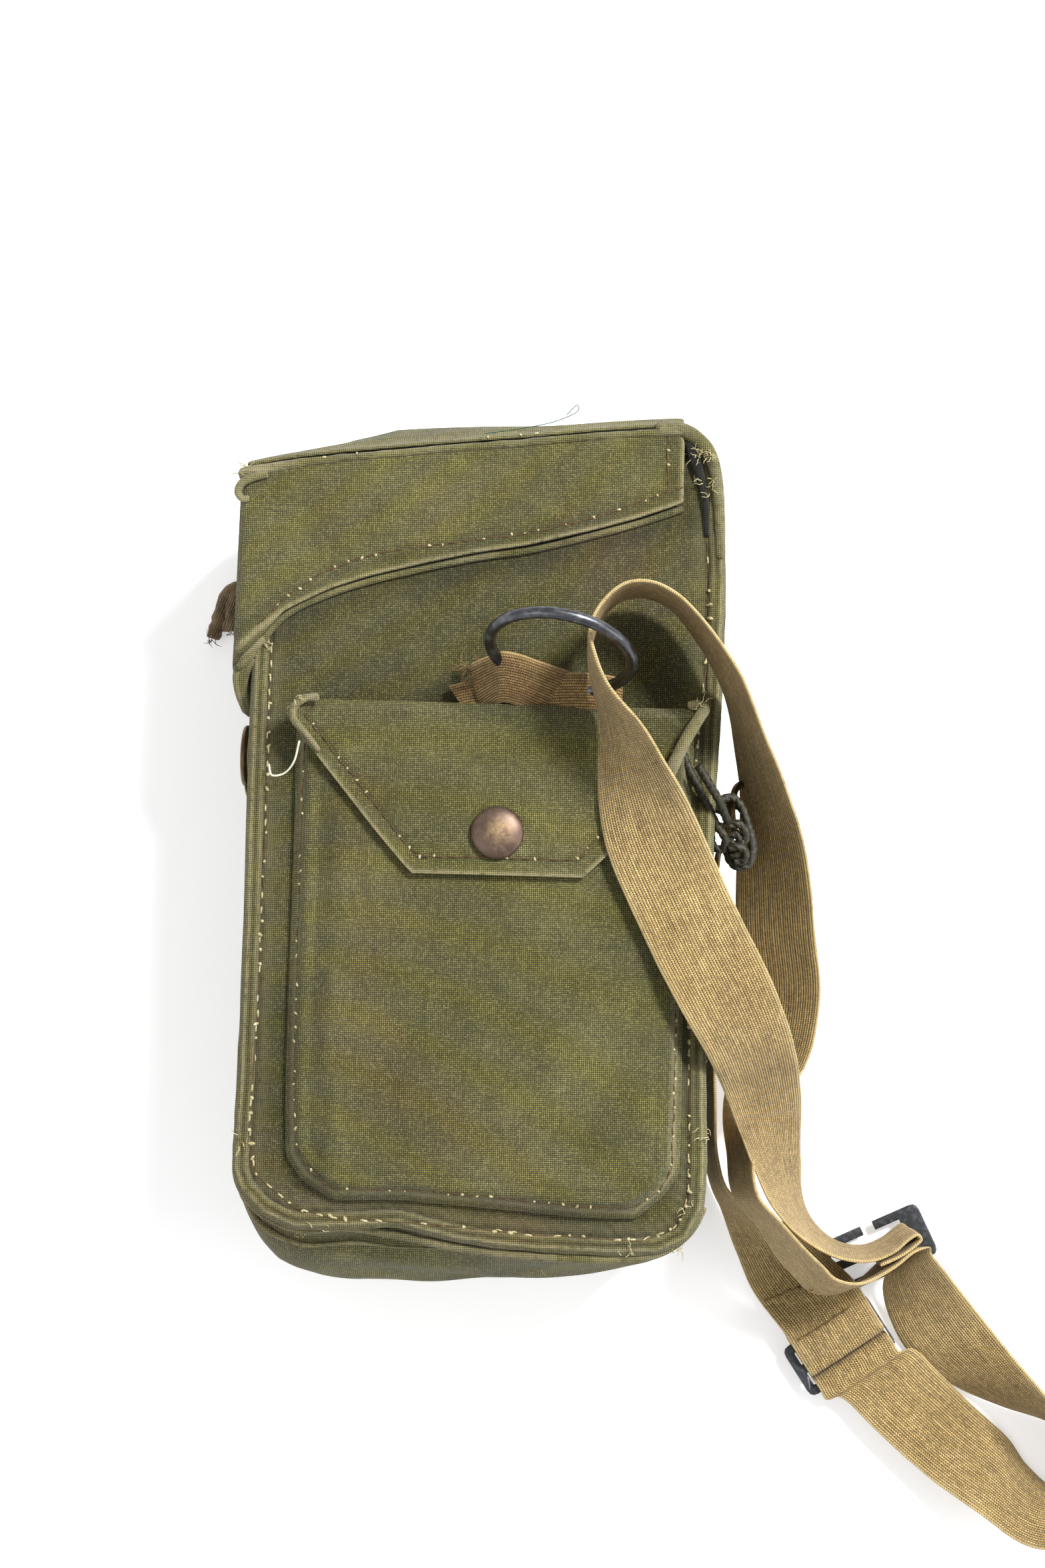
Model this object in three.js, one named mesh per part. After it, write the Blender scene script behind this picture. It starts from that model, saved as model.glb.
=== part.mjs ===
// Canvas haversack for a respirator, lying on its back with its webbing sling over it.
// Millimetres, +X to the bag's right, +Y to its top, +Z up through its front.
// The origin is the middle of the back panel's outer face, on the surface that the bag lies on.
import * as THREE from 'three';

// Body of the bag
const bagWidth = 160;
const bagHeight = 282;
const bagDepth = 84;
const canvas = 1.8;
const gap = 0.35;
const panelCrown = 3;
const seamWidth = 5.6;
const seamHeight = 5;
const seamProud = 2;

// Box lid over the mouth
const lidEase = 0.6;
const lidSideStand = 6.6;
const lidRoundover = 5;

// Patch pocket and its flap
const pocketStand = 7.4;
const pocketRoundover = 6;
const snapDiameter = 17.6;
const snapHeight = 3.2;

// Sling
const webWidth = 32;
const webThick = 1.8;
const sliderDepth = 20;
const sliderPlate = 1.6;
const sliderBar = 3.3;
const sliderSlotEase = 0.7;
const sliderSplit = 4.6;

// Rings
const ringOuter = 52;
const ringWire = 4.3;
const sideRingOuter = 22;
const sideRingWire = 2.6;

// Cords
const tieCord = 3;
const tapeThick = 5;

const halfWidth = bagWidth / 2;
const halfHeight = bagHeight / 2;
const lidSideX = halfWidth + lidSideStand;
const sliderLength = webWidth + 2 * (sliderBar + sliderSlotEase);
const layer = canvas + gap;
const pocketFace = pocketStand + canvas + gap;
const frontStack = bagDepth + panelCrown + pocketFace + layer;

// Materials
function finish(color, roughness, metalness) {
  return new THREE.MeshStandardMaterial({ color, roughness, metalness });
}
const greenCanvas = finish(0x565b33, 0.95, 0);
const paleCanvas = finish(0x6b6c4a, 0.95, 0);
const tanWebbing = finish(0x93794e, 0.95, 0);
const brownTape = finish(0x5d4a30, 0.95, 0);
const darkSteel = finish(0x3a3a3c, 0.45, 0.9);
const agedBrass = finish(0x6e5540, 0.4, 0.9);
const blackPaint = finish(0x26282b, 0.5, 0.3);
const waxedCord = finish(0x26251f, 0.6, 0);

const bag = new THREE.Group();

function addNode(name, geometry, material) {
  const mesh = new THREE.Mesh(geometry, material);
  mesh.name = name;
  bag.add(mesh);
  return mesh;
}

const smooth = (t) => {
  const c = Math.min(1, Math.max(0, t));
  return c * c * (3 - 2 * c);
};

// The same closed body with its faces pointing out, whichever way its grid was walked.
function facingOut(position, index) {
  const corner = (k) => new THREE.Vector3(position[3 * k], position[3 * k + 1], position[3 * k + 2]);
  let volume = 0;
  for (let k = 0; k < index.length; k += 3) {
    volume += corner(index[k]).dot(corner(index[k + 1]).cross(corner(index[k + 2])));
  }
  const geometry = new THREE.BufferGeometry();
  geometry.setAttribute('position', new THREE.Float32BufferAttribute(position, 3));
  geometry.setIndex(volume > 0 ? index : index.reverse());
  return geometry;
}

// A closed slab of cloth round a grid of points. Rows run along u and columns along v.
function clothSlab(rows, thickness) {
  const nu = rows.length;
  const nv = rows[0].length;
  const faces = [[], []];
  for (let i = 0; i < nu; i += 1) {
    for (let j = 0; j < nv; j += 1) {
      const du = rows[Math.min(i + 1, nu - 1)][j].clone().sub(rows[Math.max(i - 1, 0)][j]);
      const dv = rows[i][Math.min(j + 1, nv - 1)].clone().sub(rows[i][Math.max(j - 1, 0)]);
      const normal = du.cross(dv).normalize().multiplyScalar(thickness / 2);
      faces[0].push(rows[i][j].clone().add(normal));
      faces[1].push(rows[i][j].clone().sub(normal));
    }
  }
  const position = [...faces[0], ...faces[1]].flatMap((p) => [p.x, p.y, p.z]);
  const under = nu * nv;
  const index = [];
  const quad = (a, b, c, d) => index.push(a, b, c, a, c, d);
  for (let i = 0; i < nu - 1; i += 1) {
    for (let j = 0; j < nv - 1; j += 1) {
      const a = i * nv + j;
      quad(a, a + nv, a + nv + 1, a + 1);
      quad(under + a, under + a + 1, under + a + nv + 1, under + a + nv);
    }
  }
  const rim = [];
  for (let i = 0; i < nu - 1; i += 1) rim.push(i * nv);
  for (let j = 0; j < nv - 1; j += 1) rim.push((nu - 1) * nv + j);
  for (let i = nu - 1; i > 0; i -= 1) rim.push(i * nv + nv - 1);
  for (let j = nv - 1; j > 0; j -= 1) rim.push(j);
  rim.forEach((a, k) => {
    const b = rim[(k + 1) % rim.length];
    quad(a, under + a, under + b, b);
  });
  return facingOut(position, index);
}

// A closed slab over a disc-like outline: rings shrink from the outline to its middle.
function panelSlab(outline, ringShares, heightAt, thickness) {
  const middle = new THREE.Vector2();
  outline.forEach((p) => middle.addScaledVector(p, 1 / outline.length));
  const count = outline.length;
  const sides = [[], []];
  const heights = [thickness / 2, -thickness / 2];
  sides.forEach((side, s) => {
    side.push(middle.x, middle.y, heightAt(middle.x, middle.y) + heights[s]);
    ringShares.forEach((share) => {
      outline.forEach((p) => {
        const q = middle.clone().lerp(p, share);
        side.push(q.x, q.y, heightAt(q.x, q.y) + heights[s]);
      });
    });
  });
  const under = 1 + ringShares.length * count;
  const index = [];
  for (let k = 0; k < count; k += 1) {
    const next = (k + 1) % count;
    index.push(0, 1 + k, 1 + next);
    index.push(under, under + 1 + next, under + 1 + k);
    for (let r = 0; r < ringShares.length - 1; r += 1) {
      const a = 1 + r * count + k;
      const b = 1 + r * count + next;
      index.push(a, a + count, b + count, a, b + count, b);
      index.push(under + a, under + b + count, under + a + count, under + a, under + b, under + b + count);
    }
    const edge = 1 + (ringShares.length - 1) * count;
    index.push(edge + k, under + edge + k, under + edge + next);
    index.push(edge + k, under + edge + next, edge + next);
  }
  return facingOut([...sides[0], ...sides[1]], index);
}

// A closed tube of an oval section along points.
function ovalTube(points, width, height, sides, stepsPerSpan) {
  const curve = new THREE.CatmullRomCurve3(points);
  const section = new THREE.Shape();
  for (let k = 0; k < sides; k += 1) {
    const turn = (2 * Math.PI * (k + 0.5)) / sides;
    const x = (Math.cos(turn) * width) / 2;
    const y = (Math.sin(turn) * height) / 2;
    if (k === 0) section.moveTo(x, y);
    else section.lineTo(x, y);
  }
  section.closePath();
  const steps = stepsPerSpan * (points.length - 1);
  return new THREE.ExtrudeGeometry(section, { steps, extrudePath: curve, curveSegments: 1 });
}

// A closed rib of rounded section along a walk. wide[k] and tall[k] are the section's two
// directions at point k.
function rib(points, wide, tall, width, height, sides) {
  const count = points.length;
  const position = [];
  points.forEach((p, k) => {
    for (let n = 0; n < sides; n += 1) {
      const turn = (2 * Math.PI * (n + 0.5)) / sides;
      const q = p.clone().addScaledVector(wide[k], (Math.cos(turn) * width) / 2);
      q.addScaledVector(tall[k], (Math.sin(turn) * height) / 2);
      position.push(q.x, q.y, q.z);
    }
  });
  const index = [];
  for (let k = 0; k < count - 1; k += 1) {
    for (let n = 0; n < sides; n += 1) {
      const a = k * sides + n;
      const b = k * sides + ((n + 1) % sides);
      index.push(a, b, b + sides, a, b + sides, a + sides);
    }
  }
  const end = (count - 1) * sides;
  for (let n = 1; n < sides - 1; n += 1) {
    index.push(0, n + 1, n);
    index.push(end, end + n, end + n + 1);
  }
  return facingOut(position, index);
}

// Outline of the front panel's sewn edge, walked from the top left corner down, along the
// bottom and up to the top right. x and y are shares of the half width and half height,
// bulge is how far the gusset swells out halfway down, as a share of the bag's depth.
const edgeTable = [
  { x: -1.0, y: 0.86, bulge: 0.02 },
  { x: -1.0, y: 0.55, bulge: 0.03 },
  { x: -0.997, y: 0.1, bulge: 0.03 },
  { x: -0.987, y: -0.3, bulge: 0.03 },
  { x: -0.985, y: -0.62, bulge: 0.03 },
  { x: -0.993, y: -0.82, bulge: 0.03 },
  { x: -0.965, y: -0.87, bulge: 0.05 },
  { x: -0.86, y: -0.93, bulge: 0.1 },
  { x: -0.73, y: -0.96, bulge: 0.14 },
  { x: -0.5, y: -0.955, bulge: 0.2 },
  { x: -0.3, y: -0.945, bulge: 0.22 },
  { x: -0.05, y: -0.98, bulge: 0.15 },
  { x: 0.25, y: -0.995, bulge: 0.12 },
  { x: 0.55, y: -1.0, bulge: 0.08 },
  { x: 0.78, y: -0.995, bulge: 0.05 },
  { x: 0.91, y: -0.96, bulge: 0.04 },
  { x: 0.972, y: -0.88, bulge: 0.03 },
  { x: 0.978, y: -0.78, bulge: 0.03 },
  { x: 0.968, y: -0.6, bulge: 0.03 },
  { x: 0.968, y: -0.38, bulge: 0.03 },
  { x: 0.985, y: 0.05, bulge: 0.03 },
  { x: 1.01, y: 0.35, bulge: 0.03 },
  { x: 1.015, y: 0.65, bulge: 0.03 },
  { x: 0.995, y: 0.86, bulge: 0.02 },
  { x: 0.945, y: 0.955, bulge: 0.0 },
  { x: 0.85, y: 0.992, bulge: 0.0 },
];
const edge = edgeTable.map((row) => ({
  at: new THREE.Vector2(row.x * halfWidth, row.y * halfHeight),
  bulge: row.bulge * bagDepth,
}));

// Unit vectors pointing out of the bag at each point of an open walk.
function outwards(points) {
  return points.map((p, k) => {
    const before = points[Math.max(0, k - 1)];
    const after = points[Math.min(points.length - 1, k + 1)];
    const along = after.clone().sub(before).normalize();
    return new THREE.Vector2(along.y, -along.x);
  });
}
const edgePoints = edge.map((e) => e.at);
const edgeOut = outwards(edgePoints);
const offsetEdge = (distance) => edgePoints.map((p, k) => p.clone().addScaledVector(edgeOut[k], distance));

// Height of the front panel's middle surface.
function frontHeight(x, y) {
  const across = Math.max(0, 1 - (x / halfWidth) ** 2);
  const along = Math.max(0, 1 - (y / halfHeight) ** 2);
  return bagDepth - canvas / 2 + panelCrown * across * along;
}
const frontFace = (x, y) => frontHeight(x, y) + canvas / 2;

function addBody() {
  const panelEdge = offsetEdge(-seamWidth - gap);
  const rings = [0.25, 0.5, 0.75, 1];
  addNode('front_panel', panelSlab(panelEdge, rings, frontHeight, canvas), greenCanvas);
  addNode('back_panel', panelSlab(panelEdge, [0.5, 1], () => canvas / 2, canvas), greenCanvas);

  // The seam ribs stand a little proud of both panels.
  const ribMiddle = offsetEdge(-seamWidth / 2);
  const ribOut = edgeOut.map((v) => new THREE.Vector3(v.x, v.y, 0));
  const ribUp = edgeOut.map(() => new THREE.Vector3(0, 0, 1));
  const seamRib = (z) => {
    const points = ribMiddle.map((p) => new THREE.Vector3(p.x, p.y, z));
    return rib(points, ribOut, ribUp, seamWidth, seamHeight, 8);
  };
  const frontRibZ = bagDepth + seamProud - seamHeight / 2;
  const backRibZ = seamHeight / 2;
  addNode('front_seam', seamRib(frontRibZ), paleCanvas);
  addNode('back_seam', seamRib(backRibZ), paleCanvas);

  // The gusset runs between the two ribs and swells outwards.
  const low = backRibZ + seamHeight / 2 + gap;
  const high = frontRibZ - seamHeight / 2 - gap;
  const heights = [0, 0.15, 0.35, 0.5, 0.65, 0.85, 1];
  const rows = edge.map((e, k) =>
    heights.map((share) => {
      const swell = e.bulge * Math.sin(Math.PI * share) - seamWidth / 2;
      const p = e.at.clone().addScaledVector(edgeOut[k], swell);
      return new THREE.Vector3(p.x, p.y, low + (high - low) * share);
    })
  );
  addNode('gusset', clothSlab(rows, canvas), greenCanvas);
}

// The box lid. x is a share of the half width; hem and fold are shares of the half height at
// which the lid's lower edge and its top fold cross it.
const lidTable = [
  { x: 0.825, hem: 0.806, fold: 0.976 },
  { x: 0.64, hem: 0.766, fold: 0.97 },
  { x: 0.45, hem: 0.732, fold: 0.96 },
  { x: 0.18, hem: 0.69, fold: 0.94 },
  { x: -0.06, hem: 0.666, fold: 0.925 },
  { x: -0.33, hem: 0.63, fold: 0.908 },
  { x: -0.52, hem: 0.6, fold: 0.895 },
  { x: -0.68, hem: 0.567, fold: 0.885 },
  { x: -0.86, hem: 0.515, fold: 0.87 },
  { x: -0.98, hem: 0.462, fold: 0.856 },
];
// Down the left side: height is a share of the bag's depth.
const lidSideTable = [
  { height: 0.92, hem: 0.4, fold: 0.845 },
  { height: 0.75, hem: 0.375, fold: 0.84 },
  { height: 0.55, hem: 0.35, fold: 0.84 },
  { height: 0.35, hem: 0.325, fold: 0.84 },
  { height: 0.15, hem: 0.31, fold: 0.84 },
];
const lidTopBulge = 0.13;
const lidZ = bagDepth + seamProud + gap + canvas / 2 + lidEase;

function addLid() {
  const crossings = lidTable.map((row) => ({
    x: row.x * halfWidth,
    z: lidZ,
    hem: row.hem * halfHeight,
    fold: row.fold * halfHeight,
  }));
  // The bend over the left edge is a quarter round between the front and the side.
  const last = lidTable[lidTable.length - 1];
  [30, 60].forEach((turn, k) => {
    const angle = THREE.MathUtils.degToRad(turn);
    const share = (k + 1) / 3;
    const side = lidSideTable[0];
    crossings.push({
      x: -lidSideX + lidRoundover * (1 - Math.sin(angle)),
      z: lidZ - lidRoundover * (1 - Math.cos(angle)),
      hem: THREE.MathUtils.lerp(last.hem, side.hem, share) * halfHeight,
      fold: THREE.MathUtils.lerp(last.fold, side.fold, share) * halfHeight,
    });
  });
  lidSideTable.forEach((row) => {
    crossings.push({
      x: -lidSideX,
      z: row.height * bagDepth,
      hem: row.hem * halfHeight,
      fold: row.fold * halfHeight,
    });
  });
  const down = [0, 0.3, 0.65, 0.93, 1];
  const front = crossings.map((c) =>
    down.map((share) => {
      const y = THREE.MathUtils.lerp(c.fold - layer, c.hem, share);
      const sag = 0.5 * Math.sin(Math.PI * share);
      const droop = c.z === lidZ ? -sag : 0;
      return new THREE.Vector3(c.x, y, c.z + droop);
    })
  );
  addNode('lid_front', clothSlab(front, canvas), greenCanvas);

  // Piping along the fold, which ends in a raised ear at the left corner.
  const folds = crossings.slice(0, lidTable.length);
  const pipe = folds.map((c) => new THREE.Vector3(c.x, c.fold + canvas / 2, c.z + 0.4));
  const ear = new THREE.Vector3(-lidSideX - 1, lidSideTable[0].fold * halfHeight + 3, lidZ - 1);
  addNode('lid_piping', ovalTube([...pipe, ear], canvas * 1.7, canvas * 1.7, 8, 1), paleCanvas);

  // The lid's top runs back from the piping, swelling, and down to the back seam.
  const back = [0, 0.12, 0.35, 0.6, 0.85, 1];
  const topEdge = folds.concat([{ x: -lidSideX + canvas, z: lidZ, fold: lidSideTable[0].fold * halfHeight }]);
  const topLow = seamHeight + canvas;
  const top = topEdge.map((c) =>
    back.map((share) => {
      const rise = lidTopBulge * bagDepth * Math.sin(Math.PI * Math.min(1, share * 0.9 + 0.05));
      const y = c.fold + canvas * 2 + rise;
      const z = THREE.MathUtils.lerp(c.z - canvas, topLow, share);
      return new THREE.Vector3(c.x, y, z);
    })
  );
  addNode('lid_top', clothSlab(top, canvas), greenCanvas);
}

// Patch pocket: x and y are shares of the half width and half height.
const pocketTable = [
  { x: -0.8, y: 0.255 },
  { x: -0.79, y: 0.0 },
  { x: -0.787, y: -0.3 },
  { x: -0.785, y: -0.6 },
  { x: -0.77, y: -0.79 },
  { x: -0.7, y: -0.845 },
  { x: -0.57, y: -0.89 },
  { x: -0.3, y: -0.885 },
  { x: 0.1, y: -0.9 },
  { x: 0.45, y: -0.915 },
  { x: 0.69, y: -0.915 },
  { x: 0.8, y: -0.86 },
  { x: 0.865, y: -0.81 },
  { x: 0.868, y: -0.6 },
  { x: 0.868, y: -0.35 },
  { x: 0.88, y: 0.0 },
  { x: 0.895, y: 0.255 },
];
const pocketEdge = pocketTable.map((row) => new THREE.Vector2(row.x * halfWidth, row.y * halfHeight));
const pocketTop = pocketTable[0].y * halfHeight;

// Distance of a point to an open walk of segments.
function distanceTo(walk, x, y) {
  const p = new THREE.Vector3(x, y, 0);
  const nearest = new THREE.Vector3();
  let best = Infinity;
  for (let k = 0; k < walk.length - 1; k += 1) {
    const a = new THREE.Vector3(walk[k].x, walk[k].y, 0);
    const b = new THREE.Vector3(walk[k + 1].x, walk[k + 1].y, 0);
    new THREE.Line3(a, b).closestPointToPoint(p, true, nearest);
    best = Math.min(best, nearest.distanceTo(p));
  }
  return best;
}
function pocketHeight(x, y) {
  const rise = smooth(distanceTo(pocketEdge, x, y) / pocketRoundover);
  return frontFace(x, y) + gap + canvas / 2 + pocketStand * rise;
}

// Pocket flap: left and right ends of each row, as shares of the half width.
const pocketFlapTable = [
  { y: 0.286, left: -0.78, right: 0.89 },
  { y: 0.262, left: -0.83, right: 0.945 },
  { y: 0.23, left: -0.81, right: 0.93 },
  { y: 0.1, left: -0.62, right: 0.79 },
  { y: -0.03, left: -0.43, right: 0.6 },
  { y: -0.1, left: -0.32, right: 0.47 },
  { y: -0.122, left: -0.28, right: 0.43 },
];
const snapPlace = new THREE.Vector2(0.069 * halfWidth, -0.022 * halfHeight);

function flapHeight(x, y) {
  const onPocket = frontFace(x, y) + gap + canvas + pocketStand + gap + canvas / 2;
  const atSeam = frontFace(x, y) + 3 * layer + canvas / 2;
  return Math.max(atSeam, THREE.MathUtils.lerp(onPocket, atSeam, smooth((y - pocketTop) / 8)));
}

function addPocket() {
  const outline = [];
  const top = pocketEdge[0];
  const end = pocketEdge[pocketEdge.length - 1];
  [0.8, 0.6, 0.4, 0.2].forEach((share) => outline.push(top.clone().lerp(end, share)));
  outline.push(...pocketEdge);
  const rings = [0.4, 0.8, 0.93, 0.965, 1];
  addNode('pocket', panelSlab(outline, rings, pocketHeight, canvas), greenCanvas);

  const across = [0, 0.05, 0.2, 0.35, 0.5, 0.65, 0.8, 0.95, 1];
  const rows = pocketFlapTable.map((row) =>
    across.map((share) => {
      const x = THREE.MathUtils.lerp(row.left, row.right, share) * halfWidth;
      const y = row.y * halfHeight;
      const curl = 7 * smooth((x / halfWidth - 0.78) / 0.17) * smooth((row.y - 0.1) / 0.15);
      return new THREE.Vector3(x, y, flapHeight(x, y) + curl);
    })
  );
  addNode('pocket_flap', clothSlab(rows, canvas), greenCanvas);

  // Domed cap of the press stud, on the flap.
  const r = snapDiameter / 2;
  const profile = [
    [0, 0], [r * 0.93, 0], [r, 0.7], [r * 0.97, 1.3], [r * 0.8, snapHeight * 0.72],
    [r * 0.5, snapHeight * 0.93], [0, snapHeight],
  ];
  const cap = addNode('snap_cap', new THREE.LatheGeometry(profile.map((p) => new THREE.Vector2(...p)), 20),
    agedBrass);
  cap.rotation.x = Math.PI / 2;
  const capZ = flapHeight(snapPlace.x, snapPlace.y) + canvas / 2 + gap;
  cap.position.set(snapPlace.x, snapPlace.y, capZ);
}

// A ring and the webbing tab that holds it. turn is the heading of the ring's long axis,
// lift the slope of its plane.
function ringFrame(centre, turn, lift) {
  const t = THREE.MathUtils.degToRad(turn);
  const l = THREE.MathUtils.degToRad(lift);
  const along = new THREE.Vector3(Math.cos(t), Math.sin(t), 0);
  const flat = new THREE.Vector3(-Math.sin(t), Math.cos(t), 0);
  const up = new THREE.Vector3(0, 0, 1);
  const rise = flat.clone().multiplyScalar(Math.cos(l)).addScaledVector(up, Math.sin(l));
  const axis = along.clone().cross(rise);
  return { centre, along, rise, axis };
}
function addRing(name, frame, outer, wire, material) {
  const ring = addNode(name, new THREE.TorusGeometry((outer - wire) / 2, wire / 2, 10, 32), material);
  const place = new THREE.Matrix4().makeBasis(frame.along, frame.rise, frame.axis);
  place.setPosition(frame.centre);
  ring.applyMatrix4(place);
}
const ringWrap = (frame, outer, wire, angle, around) => {
  const radius = (outer - wire) / 2;
  const outDir = frame.along.clone().multiplyScalar(Math.cos(angle));
  outDir.addScaledVector(frame.rise, Math.sin(angle));
  const reach = wire / 2 + gap + webThick / 2 + tabEase;
  const p = frame.centre.clone().addScaledVector(outDir, radius + reach * Math.cos(around));
  return p.addScaledVector(frame.axis, reach * Math.sin(around));
};

const frontRing = ringFrame(
  new THREE.Vector3(0.309 * halfWidth, 0.392 * halfHeight, bagDepth + panelCrown + 28.5), -10, 70);
const tabEase = 0.75;
const tabSpan = 32;
const tabMiddle = -97;

function addFrontRing() {
  addRing('ring', frontRing, ringOuter, ringWire, darkSteel);
  const across = [-1, -0.5, 0, 0.5, 1];
  const lowLeg = (x, y) => frontFace(x, y) + gap + webThick / 2;
  const highLeg = (x, y) => frontFace(x, y) + 2 * gap + webThick * 1.5;
  const legEnd = pocketTop + 2.5;
  const rows = across.map((share) => {
    const angle = THREE.MathUtils.degToRad(tabMiddle + share * tabSpan);
    const wrap = (degrees) => ringWrap(frontRing, ringOuter, ringWire, angle, THREE.MathUtils.degToRad(degrees));
    const x = frontRing.centre.x - 2 + share * webWidth / 2;
    const far = wrap(100);
    const midLow = new THREE.Vector3((x + far.x) / 2, (legEnd + far.y) / 2 + 1, 0);
    midLow.z = lowLeg(midLow.x, midLow.y) + 0.5;
    return [
      new THREE.Vector3(x, legEnd, highLeg(x, legEnd)),
      wrap(-50),
      wrap(-90),
      wrap(-130),
      wrap(-170),
      wrap(145),
      far,
      midLow,
      new THREE.Vector3(x, legEnd, lowLeg(x, legEnd)),
    ];
  });
  addNode('ring_tab', clothSlab(rows, webThick), tanWebbing);
}

// Slider: a flat three-bar buckle, one long bar split in its middle.
function sliderShape() {
  const l = sliderLength / 2;
  const d = sliderDepth / 2;
  const round = 3;
  const slotL = l - sliderBar;
  const slotHigh = d - sliderBar;
  const slotLow = sliderBar / 2;
  const cut = sliderSplit / 2;
  const shape = new THREE.Shape();
  shape.moveTo(-cut, d);
  shape.lineTo(-l + round, d);
  shape.quadraticCurveTo(-l, d, -l, d - round);
  shape.lineTo(-l, -d + round);
  shape.quadraticCurveTo(-l, -d, -l + round, -d);
  shape.lineTo(l - round, -d);
  shape.quadraticCurveTo(l, -d, l, -d + round);
  shape.lineTo(l, d - round);
  shape.quadraticCurveTo(l, d, l - round, d);
  shape.lineTo(cut, d);
  shape.lineTo(cut, slotHigh);
  shape.lineTo(slotL, slotHigh);
  shape.lineTo(slotL, slotLow);
  shape.lineTo(-slotL, slotLow);
  shape.lineTo(-slotL, slotHigh);
  shape.lineTo(-cut, slotHigh);
  shape.closePath();
  const slot = new THREE.Path();
  slot.moveTo(-slotL, -slotHigh);
  slot.lineTo(slotL, -slotHigh);
  slot.lineTo(slotL, -slotLow);
  slot.lineTo(-slotL, -slotLow);
  slot.closePath();
  shape.holes.push(slot);
  return shape;
}
function sliderFrame(x, y, z, turn, tilt) {
  const t = THREE.MathUtils.degToRad(turn);
  const l = THREE.MathUtils.degToRad(tilt);
  const long = new THREE.Vector3(Math.cos(t) * Math.cos(l), Math.sin(t) * Math.cos(l), Math.sin(l));
  const short = new THREE.Vector3(-Math.sin(t), Math.cos(t), 0);
  const normal = long.clone().cross(short);
  return { centre: new THREE.Vector3(x, y, z), long, short, normal };
}
function addSlider(name, frame) {
  const plate = new THREE.ExtrudeGeometry(sliderShape(), {
    depth: sliderPlate, bevelEnabled: false, curveSegments: 3,
  });
  plate.translate(0, 0, -sliderPlate / 2);
  const slider = addNode(name, plate, blackPaint);
  const place = new THREE.Matrix4().makeBasis(frame.long, frame.short, frame.normal);
  place.setPosition(frame.centre);
  slider.applyMatrix4(place);
}
const threadGap = 0.6;
const above = sliderPlate / 2 + threadGap + webThick / 2;
const beneath = above + webThick + threadGap;
const slotMiddle = (sliderDepth / 2 - sliderBar + sliderBar / 2) / 2;
const sliderOne = sliderFrame(0.85 * bagWidth, -0.629 * bagHeight, beneath + webThick / 2 + 0.4, 34, 0);
const sliderTwo = sliderFrame(0.93 * bagWidth, -0.508 * bagHeight, sliderPlate / 2 + 3.1, 26, 8);

// A station of a webbing band: its middle, and the unit vector across it.
function bandPoint(frame, short, normal) {
  const middle = frame.centre.clone().addScaledVector(frame.short, short);
  middle.addScaledVector(frame.normal, normal);
  return { middle, across: frame.long.clone() };
}
// x and y are shares of the bag's width and height. raise lifts the band's lower rim, as a
// share of the height of everything stacked on the front. turn is the heading of the line
// across the band and lean its slope, in degrees.
function bandStations(table) {
  return table.map((row) => {
    const turn = THREE.MathUtils.degToRad(row.turn);
    const lean = THREE.MathUtils.degToRad(row.lean);
    const rest = (webWidth / 2) * Math.abs(Math.sin(lean)) + webThick / 2;
    const middle = new THREE.Vector3(row.x * bagWidth, row.y * bagHeight, row.raise * frontStack + rest);
    const across = new THREE.Vector3(
      Math.cos(turn) * Math.cos(lean), Math.sin(turn) * Math.cos(lean), Math.sin(lean));
    return { middle, across };
  });
}
function webBand(stations, stepsPerSpan) {
  const middles = new THREE.CatmullRomCurve3(stations.map((s) => s.middle));
  const acrosses = new THREE.CatmullRomCurve3(stations.map((s) => s.across), false, 'catmullrom');
  const spans = stations.length - 1;
  const rows = [];
  for (let k = 0; k <= spans; k += 1) {
    const steps = k === spans ? 1 : stepsPerSpan;
    for (let s = 0; s < steps; s += 1) {
      const t = (k + s / stepsPerSpan) / spans;
      const middle = middles.getPoint(t);
      const across = acrosses.getPoint(t).normalize().multiplyScalar(webWidth / 2);
      rows.push([middle.clone().sub(across), middle, middle.clone().add(across)]);
    }
  }
  return clothSlab(rows, webThick);
}

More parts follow.
